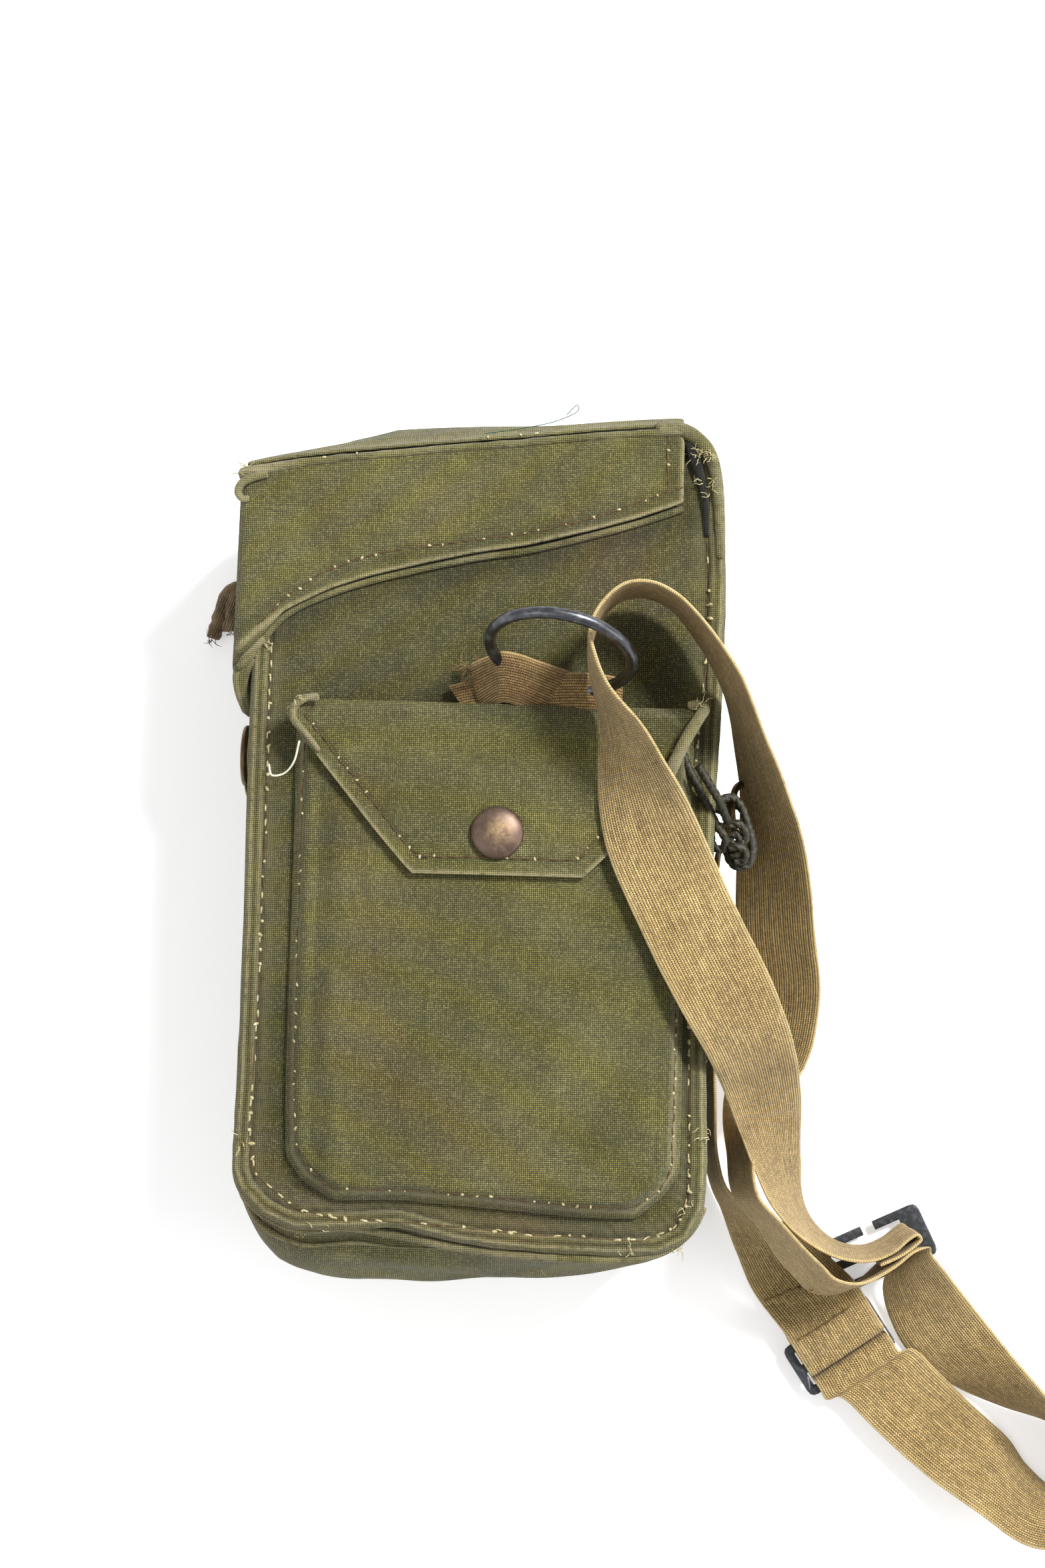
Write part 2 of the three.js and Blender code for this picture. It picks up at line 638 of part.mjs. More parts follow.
// The sling's whole route: from its end at the second slider up over the bag's front, through
// the front ring, round and down beside the bag, back over the second slider, and out to the
// loose loop, whose end is threaded through the first slider.
const slingFrontTable = [
  { x: 0.9, y: -0.515, raise: 0.09, turn: 60, lean: -88 },
  { x: 0.944, y: -0.502, raise: 0.095, turn: 80, lean: -88 },
  { x: 0.973, y: -0.489, raise: 0.1, turn: 100, lean: -88 },
  { x: 0.984, y: -0.482, raise: 0.1, turn: 130, lean: -88 },
  { x: 0.978, y: -0.476, raise: 0.1, turn: 100, lean: -88 },
  { x: 0.96, y: -0.482, raise: 0.1, turn: 80, lean: -88 },
  { x: 0.93, y: -0.496, raise: 0.095, turn: 70, lean: -86 },
  { x: 0.885, y: -0.507, raise: 0.085, turn: 50, lean: -84 },
  { x: 0.818, y: -0.504, raise: 0.085, turn: 30, lean: -80 },
  { x: 0.75, y: -0.481, raise: 0.13, turn: 16, lean: -74 },
  { x: 0.697, y: -0.444, raise: 0.22, turn: 8, lean: -64 },
  { x: 0.663, y: -0.394, raise: 0.34, turn: 0, lean: -52 },
  { x: 0.618, y: -0.311, raise: 0.6, turn: 0, lean: -30 },
  { x: 0.572, y: -0.254, raise: 0.86, turn: 6, lean: -16 },
  { x: 0.517, y: -0.195, raise: 0.985, turn: 18, lean: -4 },
  { x: 0.458, y: -0.132, raise: 1.0, turn: 27, lean: 0 },
  { x: 0.399, y: -0.065, raise: 1.008, turn: 28, lean: 2 },
  { x: 0.35, y: -0.008, raise: 1.012, turn: 24, lean: 18 },
  { x: 0.312, y: 0.051, raise: 1.012, turn: 8, lean: 44 },
  { x: 0.28, y: 0.112, raise: 1.012, turn: -8, lean: 70 },
  { x: 0.241, y: 0.15, raise: 1.012, turn: -20, lean: 84 },
  { x: 0.219, y: 0.184, raise: 1.012, turn: -20, lean: 89 },
  { x: 0.215, y: 0.217, raise: 0.98, turn: 160, lean: 88 },
  { x: 0.238, y: 0.25, raise: 0.96, turn: 130, lean: 89 },
  { x: 0.282, y: 0.274, raise: 0.945, turn: 100, lean: 91 },
  { x: 0.338, y: 0.278, raise: 0.935, turn: 80, lean: 92 },
  { x: 0.388, y: 0.266, raise: 0.925, turn: 50, lean: 92 },
  { x: 0.439, y: 0.236, raise: 0.915, turn: 30, lean: 90 },
  { x: 0.508, y: 0.177, raise: 0.905, turn: 10, lean: 85 },
  { x: 0.562, y: 0.115, raise: 0.72, turn: 0, lean: 78 },
  { x: 0.604, y: 0.055, raise: 0.58, turn: 0, lean: 66 },
  { x: 0.634, y: -0.022, raise: 0.46, turn: 4, lean: 46 },
  { x: 0.655, y: -0.107, raise: 0.34, turn: 2, lean: 36 },
  { x: 0.676, y: -0.19, raise: 0.24, turn: 0, lean: 34 },
  { x: 0.655, y: -0.275, raise: 0.17, turn: -2, lean: 42 },
  { x: 0.6, y: -0.33, raise: 0.16, turn: 0, lean: 68 },
  { x: 0.586, y: -0.385, raise: 0.27, turn: 6, lean: 79 },
  { x: 0.594, y: -0.434, raise: 0.37, turn: 18, lean: 80 },
  { x: 0.642, y: -0.465, raise: 0.36, turn: 38, lean: 80 },
  { x: 0.689, y: -0.498, raise: 0.32, turn: 47, lean: 76 },
  { x: 0.741, y: -0.527, raise: 0.25, turn: 52, lean: 74 },
  { x: 0.776, y: -0.545, raise: 0.19, turn: 58, lean: 74 },
  { x: 0.818, y: -0.55, raise: 0.165, turn: 76, lean: 77 },
  { x: 0.868, y: -0.543, raise: 0.125, turn: 104, lean: 83 },
  { x: 0.93, y: -0.52, raise: 0.09, turn: 116, lean: 88 },
  { x: 0.978, y: -0.5, raise: 0.09, turn: 100, lean: 87 },
  { x: 0.992, y: -0.506, raise: 0.07, turn: 52, lean: 74 },
  { x: 0.982, y: -0.524, raise: 0.055, turn: 44, lean: 58 },
  { x: 1.01, y: -0.557, raise: 0.03, turn: 37, lean: 42 },
  { x: 1.082, y: -0.614, raise: 0.004, turn: 33, lean: 30 },
  { x: 1.176, y: -0.664, raise: 0.004, turn: 24, lean: 45 },
  { x: 1.26, y: -0.695, raise: 0.004, turn: 20, lean: 66 },
  { x: 1.35, y: -0.722, raise: 0.004, turn: 10, lean: 84 },
  { x: 1.405, y: -0.755, raise: 0.004, turn: 0, lean: 90 },
  { x: 1.4, y: -0.8, raise: 0.004, turn: -40, lean: 84 },
  { x: 1.35, y: -0.828, raise: 0.004, turn: -75, lean: 64 },
  { x: 1.27, y: -0.822, raise: 0.004, turn: -98, lean: 40 },
  { x: 1.19, y: -0.786, raise: 0.004, turn: -118, lean: 30 },
  { x: 1.1, y: -0.748, raise: 0.006, turn: -126, lean: 20 },
  { x: 0.996, y: -0.697, raise: 0.03, turn: -140, lean: 12 },
  { x: 0.925, y: -0.663, raise: 0.055, turn: -146, lean: 5 },
];
// The side strap is sewn to the bag's right side, runs down beside it and ends in the loop
// that holds the first slider.
const sideStrapTable = [
  { x: 0.521, y: -0.13, raise: 0.26, turn: 0, lean: 90 },
  { x: 0.521, y: -0.24, raise: 0.18, turn: 0, lean: 90 },
  { x: 0.527, y: -0.33, raise: 0.08, turn: 0, lean: 88 },
  { x: 0.535, y: -0.39, raise: 0.02, turn: 0, lean: 87 },
  { x: 0.56, y: -0.435, raise: 0.006, turn: 4, lean: 84 },
  { x: 0.61, y: -0.462, raise: 0.004, turn: 10, lean: 68 },
  { x: 0.675, y: -0.5, raise: 0.004, turn: 18, lean: 42 },
  { x: 0.735, y: -0.545, raise: 0.004, turn: 28, lean: 18 },
];

// Sewn loop of a band round a slider's middle bar, in the slider's frame. The band comes in
// over the upper outer bar, turns round the middle bar and returns beneath itself.
function sewnLoop(frame, out) {
  const top = above + webThick + threadGap;
  const bend = sliderBar / 2 + above - sliderPlate / 2;
  const points = [
    [out, top], [sliderDepth / 2, top], [slotMiddle, top - 0.6], [0.6, above],
    [-sliderBar / 2, above], [-bend, 0.9], [-bend, -0.9], [-sliderBar / 2, -above], [1, -above],
    [slotMiddle - 0.6, -0.8], [slotMiddle + 0.6, 0.8], [2 * slotMiddle - 1, above],
    [sliderDepth / 2 + 8, above],
  ];
  return points.map(([short, normal]) => bandPoint(frame, short, normal));
}
// The running band dips through the other slot, under the sewn loop, and ends in a tail.
function threadedEnd(frame, tail) {
  const through = -slotMiddle - 1.3;
  const points = [
    [-sliderDepth / 2 - 3, above], [through - 3.1, above + 0.3], [through - 0.75, above - 0.1],
    [through, 0.6], [through, -1.2], [through + 1.2, 0.8 - beneath], [-1.5, -beneath],
    [3, -beneath], [tail, -beneath],
  ];
  return points.map(([short, normal]) => bandPoint(frame, short, normal));
}

function addSling() {
  addSlider('slider_1', sliderOne);
  addSlider('slider_2', sliderTwo);
  const sewnEnd = sewnLoop(sliderOne, sliderDepth / 2 + 6);
  addNode('side_strap', webBand([...bandStations(sideStrapTable), ...sewnEnd], 2), tanWebbing);
  const tail = threadedEnd(sliderOne, 12).map((s) => ({ middle: s.middle, across: s.across.negate() }));
  addNode('sling', webBand([...bandStations(slingFrontTable), ...tail], 2), tanWebbing);
}

// Side fittings: a wire ring in a webbing tab sewn to the gusset, one on each side.
const sideTabWidth = 10;
const sideTabLength = 14;
// Outer face of the gusset at mid depth, on the right or the left, at a height y.
function wallX(sign, y) {
  const side = edge.filter((e) => sign * e.at.x > 0.9 * halfWidth);
  const nearest = side.reduce((a, b) => (Math.abs(b.at.y - y) < Math.abs(a.at.y - y) ? b : a));
  return sign * nearest.at.x - seamWidth / 2 + nearest.bulge + canvas / 2;
}
function addSideRing(side, ringY, ringZ, material) {
  const sign = side === 'right' ? 1 : -1;
  const wall = wallX(sign, ringY) + gap;
  const radius = (sideRingOuter - sideRingWire) / 2;
  const ease = 0.9;
  const reach = sideRingWire / 2 + gap + webThick / 2 + ease;
  const wireX = wall + webThick / 2 + reach;
  const frame = ringFrame(new THREE.Vector3(sign * wireX, ringY, ringZ), sign * 90, sign * 90);
  addRing('side_ring_' + side, frame, sideRingOuter, sideRingWire, material);
  const rows = [-1, 0, 1].map((share) => {
    const z = ringZ + (share * sideTabWidth) / 2;
    const wireY = ringY - Math.sqrt(radius ** 2 - (z - ringZ) ** 2);
    const wrap = (degrees) => {
      const angle = THREE.MathUtils.degToRad(degrees);
      const x = wireX + reach * Math.cos(angle);
      return new THREE.Vector3(sign * x, wireY + reach * Math.sin(angle), z);
    };
    const endY = ringY - radius - sideTabLength;
    const outerLeg = wall + webThick * 1.5 + gap;
    return [
      new THREE.Vector3(sign * (wall + webThick / 2), endY, z),
      wrap(180), wrap(140), wrap(100), wrap(60), wrap(20), wrap(-20), wrap(-60),
      new THREE.Vector3(sign * outerLeg, wireY - reach - 2.5, z),
      new THREE.Vector3(sign * outerLeg, endY, z),
    ];
  });
  addNode('side_tab_' + side, clothSlab(rows, webThick), tanWebbing);
}

// Woven tape loop sewn in at the left back seam: x, y as shares, lying on the surface.
const tapeWidth = 7;
const tapeTable = [
  { x: -1.012, y: 0.716 },
  { x: -1.12, y: 0.709 },
  { x: -1.21, y: 0.674 },
  { x: -1.29, y: 0.614 },
  { x: -1.33, y: 0.554 },
  { x: -1.3, y: 0.519 },
  { x: -1.25, y: 0.534 },
  { x: -1.2, y: 0.584 },
  { x: -1.13, y: 0.629 },
  { x: -1.012, y: 0.636 },
];
// Waxed tie cord from under the pocket flap's corner, through the side ring, to its knot.
const tieCordTable = [
  { x: 0.9, y: 0.15, z: 1.175 },
  { x: 0.95, y: 0.112, z: 1.13 },
  { x: 1.0, y: 0.075, z: 1.07 },
  { x: 1.045, y: 0.035, z: 0.97 },
  { x: 1.058, y: 0.055, z: 0.84 },
  { x: 1.058, y: 0.088, z: 0.7675 },
  { x: 1.115, y: 0.08, z: 0.82 },
  { x: 1.15, y: 0.03, z: 0.85 },
  { x: 1.17, y: -0.02, z: 0.87 },
  { x: 1.155, y: -0.05, z: 0.87 },
  { x: 1.125, y: -0.045, z: 0.84 },
];
const knotTable = [
  { share: 0, radius: 0 },
  { share: 0.1, radius: 0.6 },
  { share: 0.35, radius: 1 },
  { share: 0.65, radius: 0.9 },
  { share: 0.9, radius: 0.6 },
  { share: 1, radius: 0 },
];
const knotLength = 12;
const knotRadius = 4.2;

function addCords() {
  const tape = tapeTable.map((row) => new THREE.Vector3(row.x * halfWidth, row.y * halfHeight, tapeThick / 2 + gap));
  const flat = tape.map((p, k) => {
    const along = tape[Math.min(k + 1, tape.length - 1)].clone().sub(tape[Math.max(k - 1, 0)]).normalize();
    return new THREE.Vector3(along.y, -along.x, 0);
  });
  const up = tape.map(() => new THREE.Vector3(0, 0, 1));
  addNode('tape_loop', rib(tape, flat, up, tapeWidth, tapeThick, 8), brownTape);
  const cord = tieCordTable.map((row) => new THREE.Vector3(row.x * halfWidth, row.y * halfHeight, row.z * bagDepth));
  addNode('tie_cord', ovalTube(cord, tieCord, tieCord, 8, 2), waxedCord);
  const profile = knotTable.map((row) => new THREE.Vector2(row.radius * knotRadius, row.share * knotLength));
  const knot = addNode('cord_knot', new THREE.LatheGeometry(profile, 10), waxedCord);
  const last = cord[cord.length - 1];
  const before = cord[cord.length - 2];
  const onward = last.clone().sub(before).normalize();
  knot.quaternion.setFromUnitVectors(new THREE.Vector3(0, 1, 0), onward);
  knot.position.copy(last).addScaledVector(onward, gap);
}

addBody();
addLid();
addPocket();
addFrontRing();
addSling();
addSideRing('right', 0.085 * halfHeight, 0.62 * bagDepth, darkSteel);
addSideRing('left', 0.17 * halfHeight, 0.66 * bagDepth, agedBrass);
addCords();

export default bag;
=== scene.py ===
# %% [markdown]
# # A canvas gas mask bag with a webbing sling
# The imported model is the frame: every piece of cloth, webbing and metal below is made in its
# place, in metres, with +Z out of the bag's front and +Y towards its lid. This script gives the
# plain solids what the real bag has: rounded cloth edges, ripples, woven thread, rows of
# stitches, worn folds and dull metal.

# %% Frame and tools
import math
import random

import bmesh
import bpy
import numpy as np
from mathutils import Matrix, Vector, noise
from mathutils.bvhtree import BVHTree


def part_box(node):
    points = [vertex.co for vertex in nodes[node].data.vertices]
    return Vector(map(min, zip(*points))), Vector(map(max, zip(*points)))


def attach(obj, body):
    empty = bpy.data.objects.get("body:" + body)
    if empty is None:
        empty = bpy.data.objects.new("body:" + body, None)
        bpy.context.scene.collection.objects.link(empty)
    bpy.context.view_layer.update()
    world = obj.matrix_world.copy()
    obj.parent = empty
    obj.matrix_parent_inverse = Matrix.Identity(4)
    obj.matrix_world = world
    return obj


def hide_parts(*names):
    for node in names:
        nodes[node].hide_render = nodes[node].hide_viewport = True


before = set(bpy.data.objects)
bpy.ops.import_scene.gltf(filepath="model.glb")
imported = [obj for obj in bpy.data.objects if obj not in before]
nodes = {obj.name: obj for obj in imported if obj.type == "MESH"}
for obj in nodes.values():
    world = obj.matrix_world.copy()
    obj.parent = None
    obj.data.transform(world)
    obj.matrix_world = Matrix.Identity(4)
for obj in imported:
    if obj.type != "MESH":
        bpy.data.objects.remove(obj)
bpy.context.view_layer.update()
print("nodes:", len(nodes))

# %% [markdown]
# ## Sizes
# The part was drawn from a few named sizes, and this script needs the same ones, because the
# sling's stations and the cord's points are shares of the bag. Blender works in metres, so each
# size is written in millimetres and multiplied by MM, which keeps the numbers easy to read.

# %% Sizes of the bag, as in the part, in metres
MM = 0.001
HALF_WIDTH = 80 * MM
HALF_HEIGHT = 141 * MM
BAG_DEPTH = 84 * MM
CANVAS = 1.8 * MM
GAP = 0.35 * MM
PANEL_CROWN = 3 * MM
POCKET_STAND = 7.4 * MM
LAYER = CANVAS + GAP
FRONT_STACK = BAG_DEPTH + PANEL_CROWN + POCKET_STAND + CANVAS + GAP + LAYER
WEB_WIDTH = 32 * MM
WEB_THICK = 1.8 * MM
print("cloth stacked on the table at the pocket, mm:", round(FRONT_STACK / MM, 1))


def clamp(value):
    """The value, held between 0 and 1."""
    return min(1.0, max(0.0, value))


# %% [markdown]
# ## Camera
# The bag was photographed from nearly straight above, leaning 7 degrees towards its bottom edge,
# so the bottom wall shows a little. The lens is a 50 mm on the long side of a 2:3 frame. The
# camera and its small roll are set from named angles, so any other view stays easy to make.

# %% Camera
CAMERA_PLACE = Vector((13.45, -74.92, 818.85)) * MM
CAMERA_TILT = math.radians(7.0)
CAMERA_ROLL = math.radians(1.65)
view_down = Vector((0, math.sin(CAMERA_TILT), -math.cos(CAMERA_TILT)))
level_up = Vector((0, math.cos(CAMERA_TILT), math.sin(CAMERA_TILT)))
level_right = Vector((1, 0, 0))
view_right = level_right * math.cos(CAMERA_ROLL) + level_up * math.sin(CAMERA_ROLL)
view_up = level_up * math.cos(CAMERA_ROLL) - level_right * math.sin(CAMERA_ROLL)

camera_data = bpy.data.cameras.new("camera")
camera_data.lens = 50
camera_data.sensor_fit = "VERTICAL"
camera_data.sensor_height = 36
camera = bpy.data.objects.new("camera", camera_data)
bpy.context.scene.collection.objects.link(camera)
turn = Matrix((view_right, view_up, -view_down)).transposed()
camera.matrix_world = Matrix.Translation(CAMERA_PLACE) @ turn.to_4x4()
bpy.context.scene.camera = camera
print("camera height over the table, mm:", round(CAMERA_PLACE.z / MM))

# %% [markdown]
# ## Shader node groups
# Cotton canvas is a plain weave: each thread passes over one and under the next, so the face is
# a grid of small bumps. Webbing is a denser, ribbed weave. Both patterns are worked out from UV
# coordinates that are stored in metres, so the thread count is real at any size. Each pattern is
# built once as a node group with named inputs, and each material places it with its own values.

# %% Helper for building node trees
def new_group(name, inputs, outputs):
    """An empty shader node group with float, vector and colour sockets."""
    group = bpy.data.node_groups.new(name, "ShaderNodeTree")
    for label, kind, value in inputs:
        socket = group.interface.new_socket(label, in_out="INPUT", socket_type=kind)
        if value is not None:
            socket.default_value = value
    for label, kind in outputs:
        group.interface.new_socket(label, in_out="OUTPUT", socket_type=kind)
    start = group.nodes.new("NodeGroupInput")
    end = group.nodes.new("NodeGroupOutput")
    return group, start, end


def link(tree, source, target):
    tree.links.new(source, target)


def maths(tree, operation, *values):
    """A Math node. Each value is a number or a socket."""
    node = tree.nodes.new("ShaderNodeMath")
    node.operation = operation
    for socket, value in zip(node.inputs, values):
        if isinstance(value, (int, float)):
            socket.default_value = value
        else:
            link(tree, value, socket)
    return node.outputs[0]


def noise_at(tree, vector, scale, detail, roughness=0.55):
    node = tree.nodes.new("ShaderNodeTexNoise")
    link(tree, vector, node.inputs["Vector"])
    if isinstance(scale, (int, float)):
        node.inputs["Scale"].default_value = scale
    else:
        link(tree, scale, node.inputs["Scale"])
    node.inputs["Detail"].default_value = detail
    node.inputs["Roughness"].default_value = roughness
    return node.outputs["Fac"]


def stretch(tree, vector, x, y, z=1.0):
    """The vector with its axes scaled, for streaks along a thread."""
    node = tree.nodes.new("ShaderNodeMapping")
    node.vector_type = "POINT"
    link(tree, vector, node.inputs["Vector"])
    node.inputs["Scale"].default_value = (x, y, z)
    return node.outputs["Vector"]


def ramp(tree, value, low, high):
    """0 below low, 1 above high, straight between."""
    node = tree.nodes.new("ShaderNodeMapRange")
    node.interpolation_type = "SMOOTHSTEP"
    link(tree, value, node.inputs["Value"])
    node.inputs["From Min"].default_value = low
    node.inputs["From Max"].default_value = high
    return node.outputs["Result"]


def blend_colour(tree, mask, first, second, mode="MIX"):
    """first where mask is 0 and second where it is 1."""
    node = tree.nodes.new("ShaderNodeMix")
    node.data_type = "RGBA"
    node.blend_type = mode
    for socket, value in ((node.inputs[0], mask), (node.inputs[6], first), (node.inputs[7], second)):
        if isinstance(value, (int, float)):
            socket.default_value = value
        elif isinstance(value, tuple):
            socket.default_value = value
        else:
            link(tree, value, socket)
    return node.outputs[2]


def hex_colour(code):
    """A display colour such as 0x6B6B43 as linear RGBA."""
    parts = [((code >> shift) & 255) / 255 for shift in (16, 8, 0)]
    return tuple(c / 12.92 if c <= 0.04045 else ((c + 0.055) / 1.055) ** 2.4 for c in parts) + (1.0,)


print("a mid green, linear:", [round(c, 3) for c in hex_colour(0x807B4A)])

# %% [markdown]
# ## Threads and crossings
# Both weaves start the same way: the point is counted in threads along and across, with a small
# wobble so that no line is ruled. They also end the same way: streaks run along each thread, and
# each crossing gets its own step of tone, since yarn is never even. So the start and the end are
# two helpers, and only the pattern between them differs.

# %% What the two weaves share
FLOAT = "NodeSocketFloat"
VECTOR = "NodeSocketVector"
COLOUR = "NodeSocketColor"
WEAVE_OUTPUTS = [("Height", FLOAT), ("Thread", FLOAT), ("Fleck", FLOAT)]
STREAK_LONG, STREAK_FINE = 60, 1500


def crossing_noise(tree, along, across):
    """A different value from 0 to 1 for each crossing of two threads."""
    joined = tree.nodes.new("ShaderNodeCombineXYZ")
    link(tree, maths(tree, "FLOOR", along), joined.inputs[0])
    link(tree, maths(tree, "FLOOR", across), joined.inputs[1])
    white = tree.nodes.new("ShaderNodeTexWhiteNoise")
    white.noise_dimensions = "2D"
    link(tree, joined.outputs[0], white.inputs["Vector"])
    return white.outputs["Value"]


def thread_places(group, start):
    """How many threads along and across a point lies, with a little wobble."""
    wobble = noise_at(group, start.outputs["Vector"], 260.0, 2.0)
    shift = maths(group, "MULTIPLY", maths(group, "SUBTRACT", wobble, 0.5), start.outputs["Wobble"])
    split = group.nodes.new("ShaderNodeSeparateXYZ")
    link(group, start.outputs["Vector"], split.inputs[0])
    along = maths(group, "DIVIDE", split.outputs[0], start.outputs["Pitch"])
    cross_pitch = maths(group, "MULTIPLY", start.outputs["Pitch"], start.outputs["Across Ratio"])
    across = maths(group, "DIVIDE", split.outputs[1], cross_pitch)
    return maths(group, "ADD", along, shift), maths(group, "ADD", across, shift)


def finish_weave(group, start, end, along, across, bump, first_share):
    """Thread tones from streaks along each thread and a step at each crossing, and pale flecks."""
    place = start.outputs["Vector"]
    long_streak = noise_at(group, stretch(group, place, STREAK_FINE, STREAK_LONG), 1.0, 2.0)
    cross_streak = noise_at(group, stretch(group, place, STREAK_LONG, STREAK_FINE), 1.0, 2.0)
    mixed = maths(
        group, "ADD",
        maths(group, "MULTIPLY", long_streak, first_share),
        maths(group, "MULTIPLY", cross_streak, maths(group, "SUBTRACT", 1.0, first_share)),
    )
    step = crossing_noise(group, along, across)
    own_tone = maths(group, "MULTIPLY", maths(group, "SUBTRACT", step, 0.5), 0.26)
    thread = maths(group, "ADD", mixed, own_tone)
    fleck = maths(group, "MULTIPLY", ramp(group, step, 0.72, 1.0), bump)
    link(group, bump, end.inputs["Height"])
    link(group, thread, end.inputs["Thread"])
    link(group, fleck, end.inputs["Fleck"])
    return group


print("a weave puts out:", [label for label, _ in WEAVE_OUTPUTS])

# %% [markdown]
# ## Plain weave
# Canvas has the simplest weave there is: over one, under one. The product of two sine waves is
# such a chequerboard of bumps, and its sign tells which of the two threads lies on top.

# %% Plain weave group
def build_plain_weave():
    """Threads that pass over one and under the next."""
    group, start, end = new_group(
        "plain_weave",
        [("Vector", VECTOR, None), ("Pitch", FLOAT, 0.00067), ("Across Ratio", FLOAT, 1.0),
         ("Wobble", FLOAT, 0.25)], WEAVE_OUTPUTS)
    along, across = thread_places(group, start)
    wave = maths(
        group, "MULTIPLY",
        maths(group, "SINE", maths(group, "MULTIPLY", along, math.pi)),
        maths(group, "SINE", maths(group, "MULTIPLY", across, math.pi)),
    )
    bump = maths(group, "POWER", maths(group, "ABSOLUTE", wave), 0.6)
    warp = ramp(group, wave, -0.15, 0.15)
    return finish_weave(group, start, end, along, across, bump, warp)


plain_weave = build_plain_weave()
print("inputs of", plain_weave.name,
      [s.name for s in plain_weave.interface.items_tree if s.in_out == "INPUT"])

# %% [markdown]
# ## Ribbed weave
# Webbing is woven thick, so its face shows ribs along the band. In each rib the stitches slant,
# and in the next one they slant the other way. One sine wave makes the ribs, and the position
# along the band is sheared by the place within the rib, left and right by turns.

# %% Ribbed weave group
def build_ribbed_weave():
    """Columns that run along a webbing, each a row of slanted stitches that lean the other way in
    the next column."""
    group, start, end = new_group(
        "ribbed_weave",
        [("Vector", VECTOR, None), ("Pitch", FLOAT, 0.00105), ("Across Ratio", FLOAT, 1.0),
         ("Wobble", FLOAT, 0.12), ("Slant", FLOAT, 0.8)], WEAVE_OUTPUTS)
    along, across = thread_places(group, start)
    wave = maths(group, "SINE", maths(group, "MULTIPLY", along, math.pi))
    column = maths(group, "POWER", maths(group, "ABSOLUTE", wave), 0.5)
    side = maths(group, "MULTIPLY_ADD", ramp(group, wave, -0.02, 0.02), 2.0, -1.0)
    within = maths(group, "SUBTRACT", maths(group, "FRACT", along), 0.5)
    lean = maths(group, "MULTIPLY", maths(group, "MULTIPLY", within, side), start.outputs["Slant"])
    place = maths(group, "ADD", across, lean)
    dash = maths(group, "ABSOLUTE", maths(group, "SINE", maths(group, "MULTIPLY", place, math.pi)))
    dash = maths(group, "MULTIPLY_ADD", maths(group, "POWER", dash, 0.7), 0.62, 0.38)
    bump = maths(group, "MULTIPLY", column, dash)
    return finish_weave(group, start, end, along, place, bump, 1.0)


ribbed_weave = build_ribbed_weave()
print("inputs of", ribbed_weave.name,
      [s.name for s in ribbed_weave.interface.items_tree if s.in_out == "INPUT"])
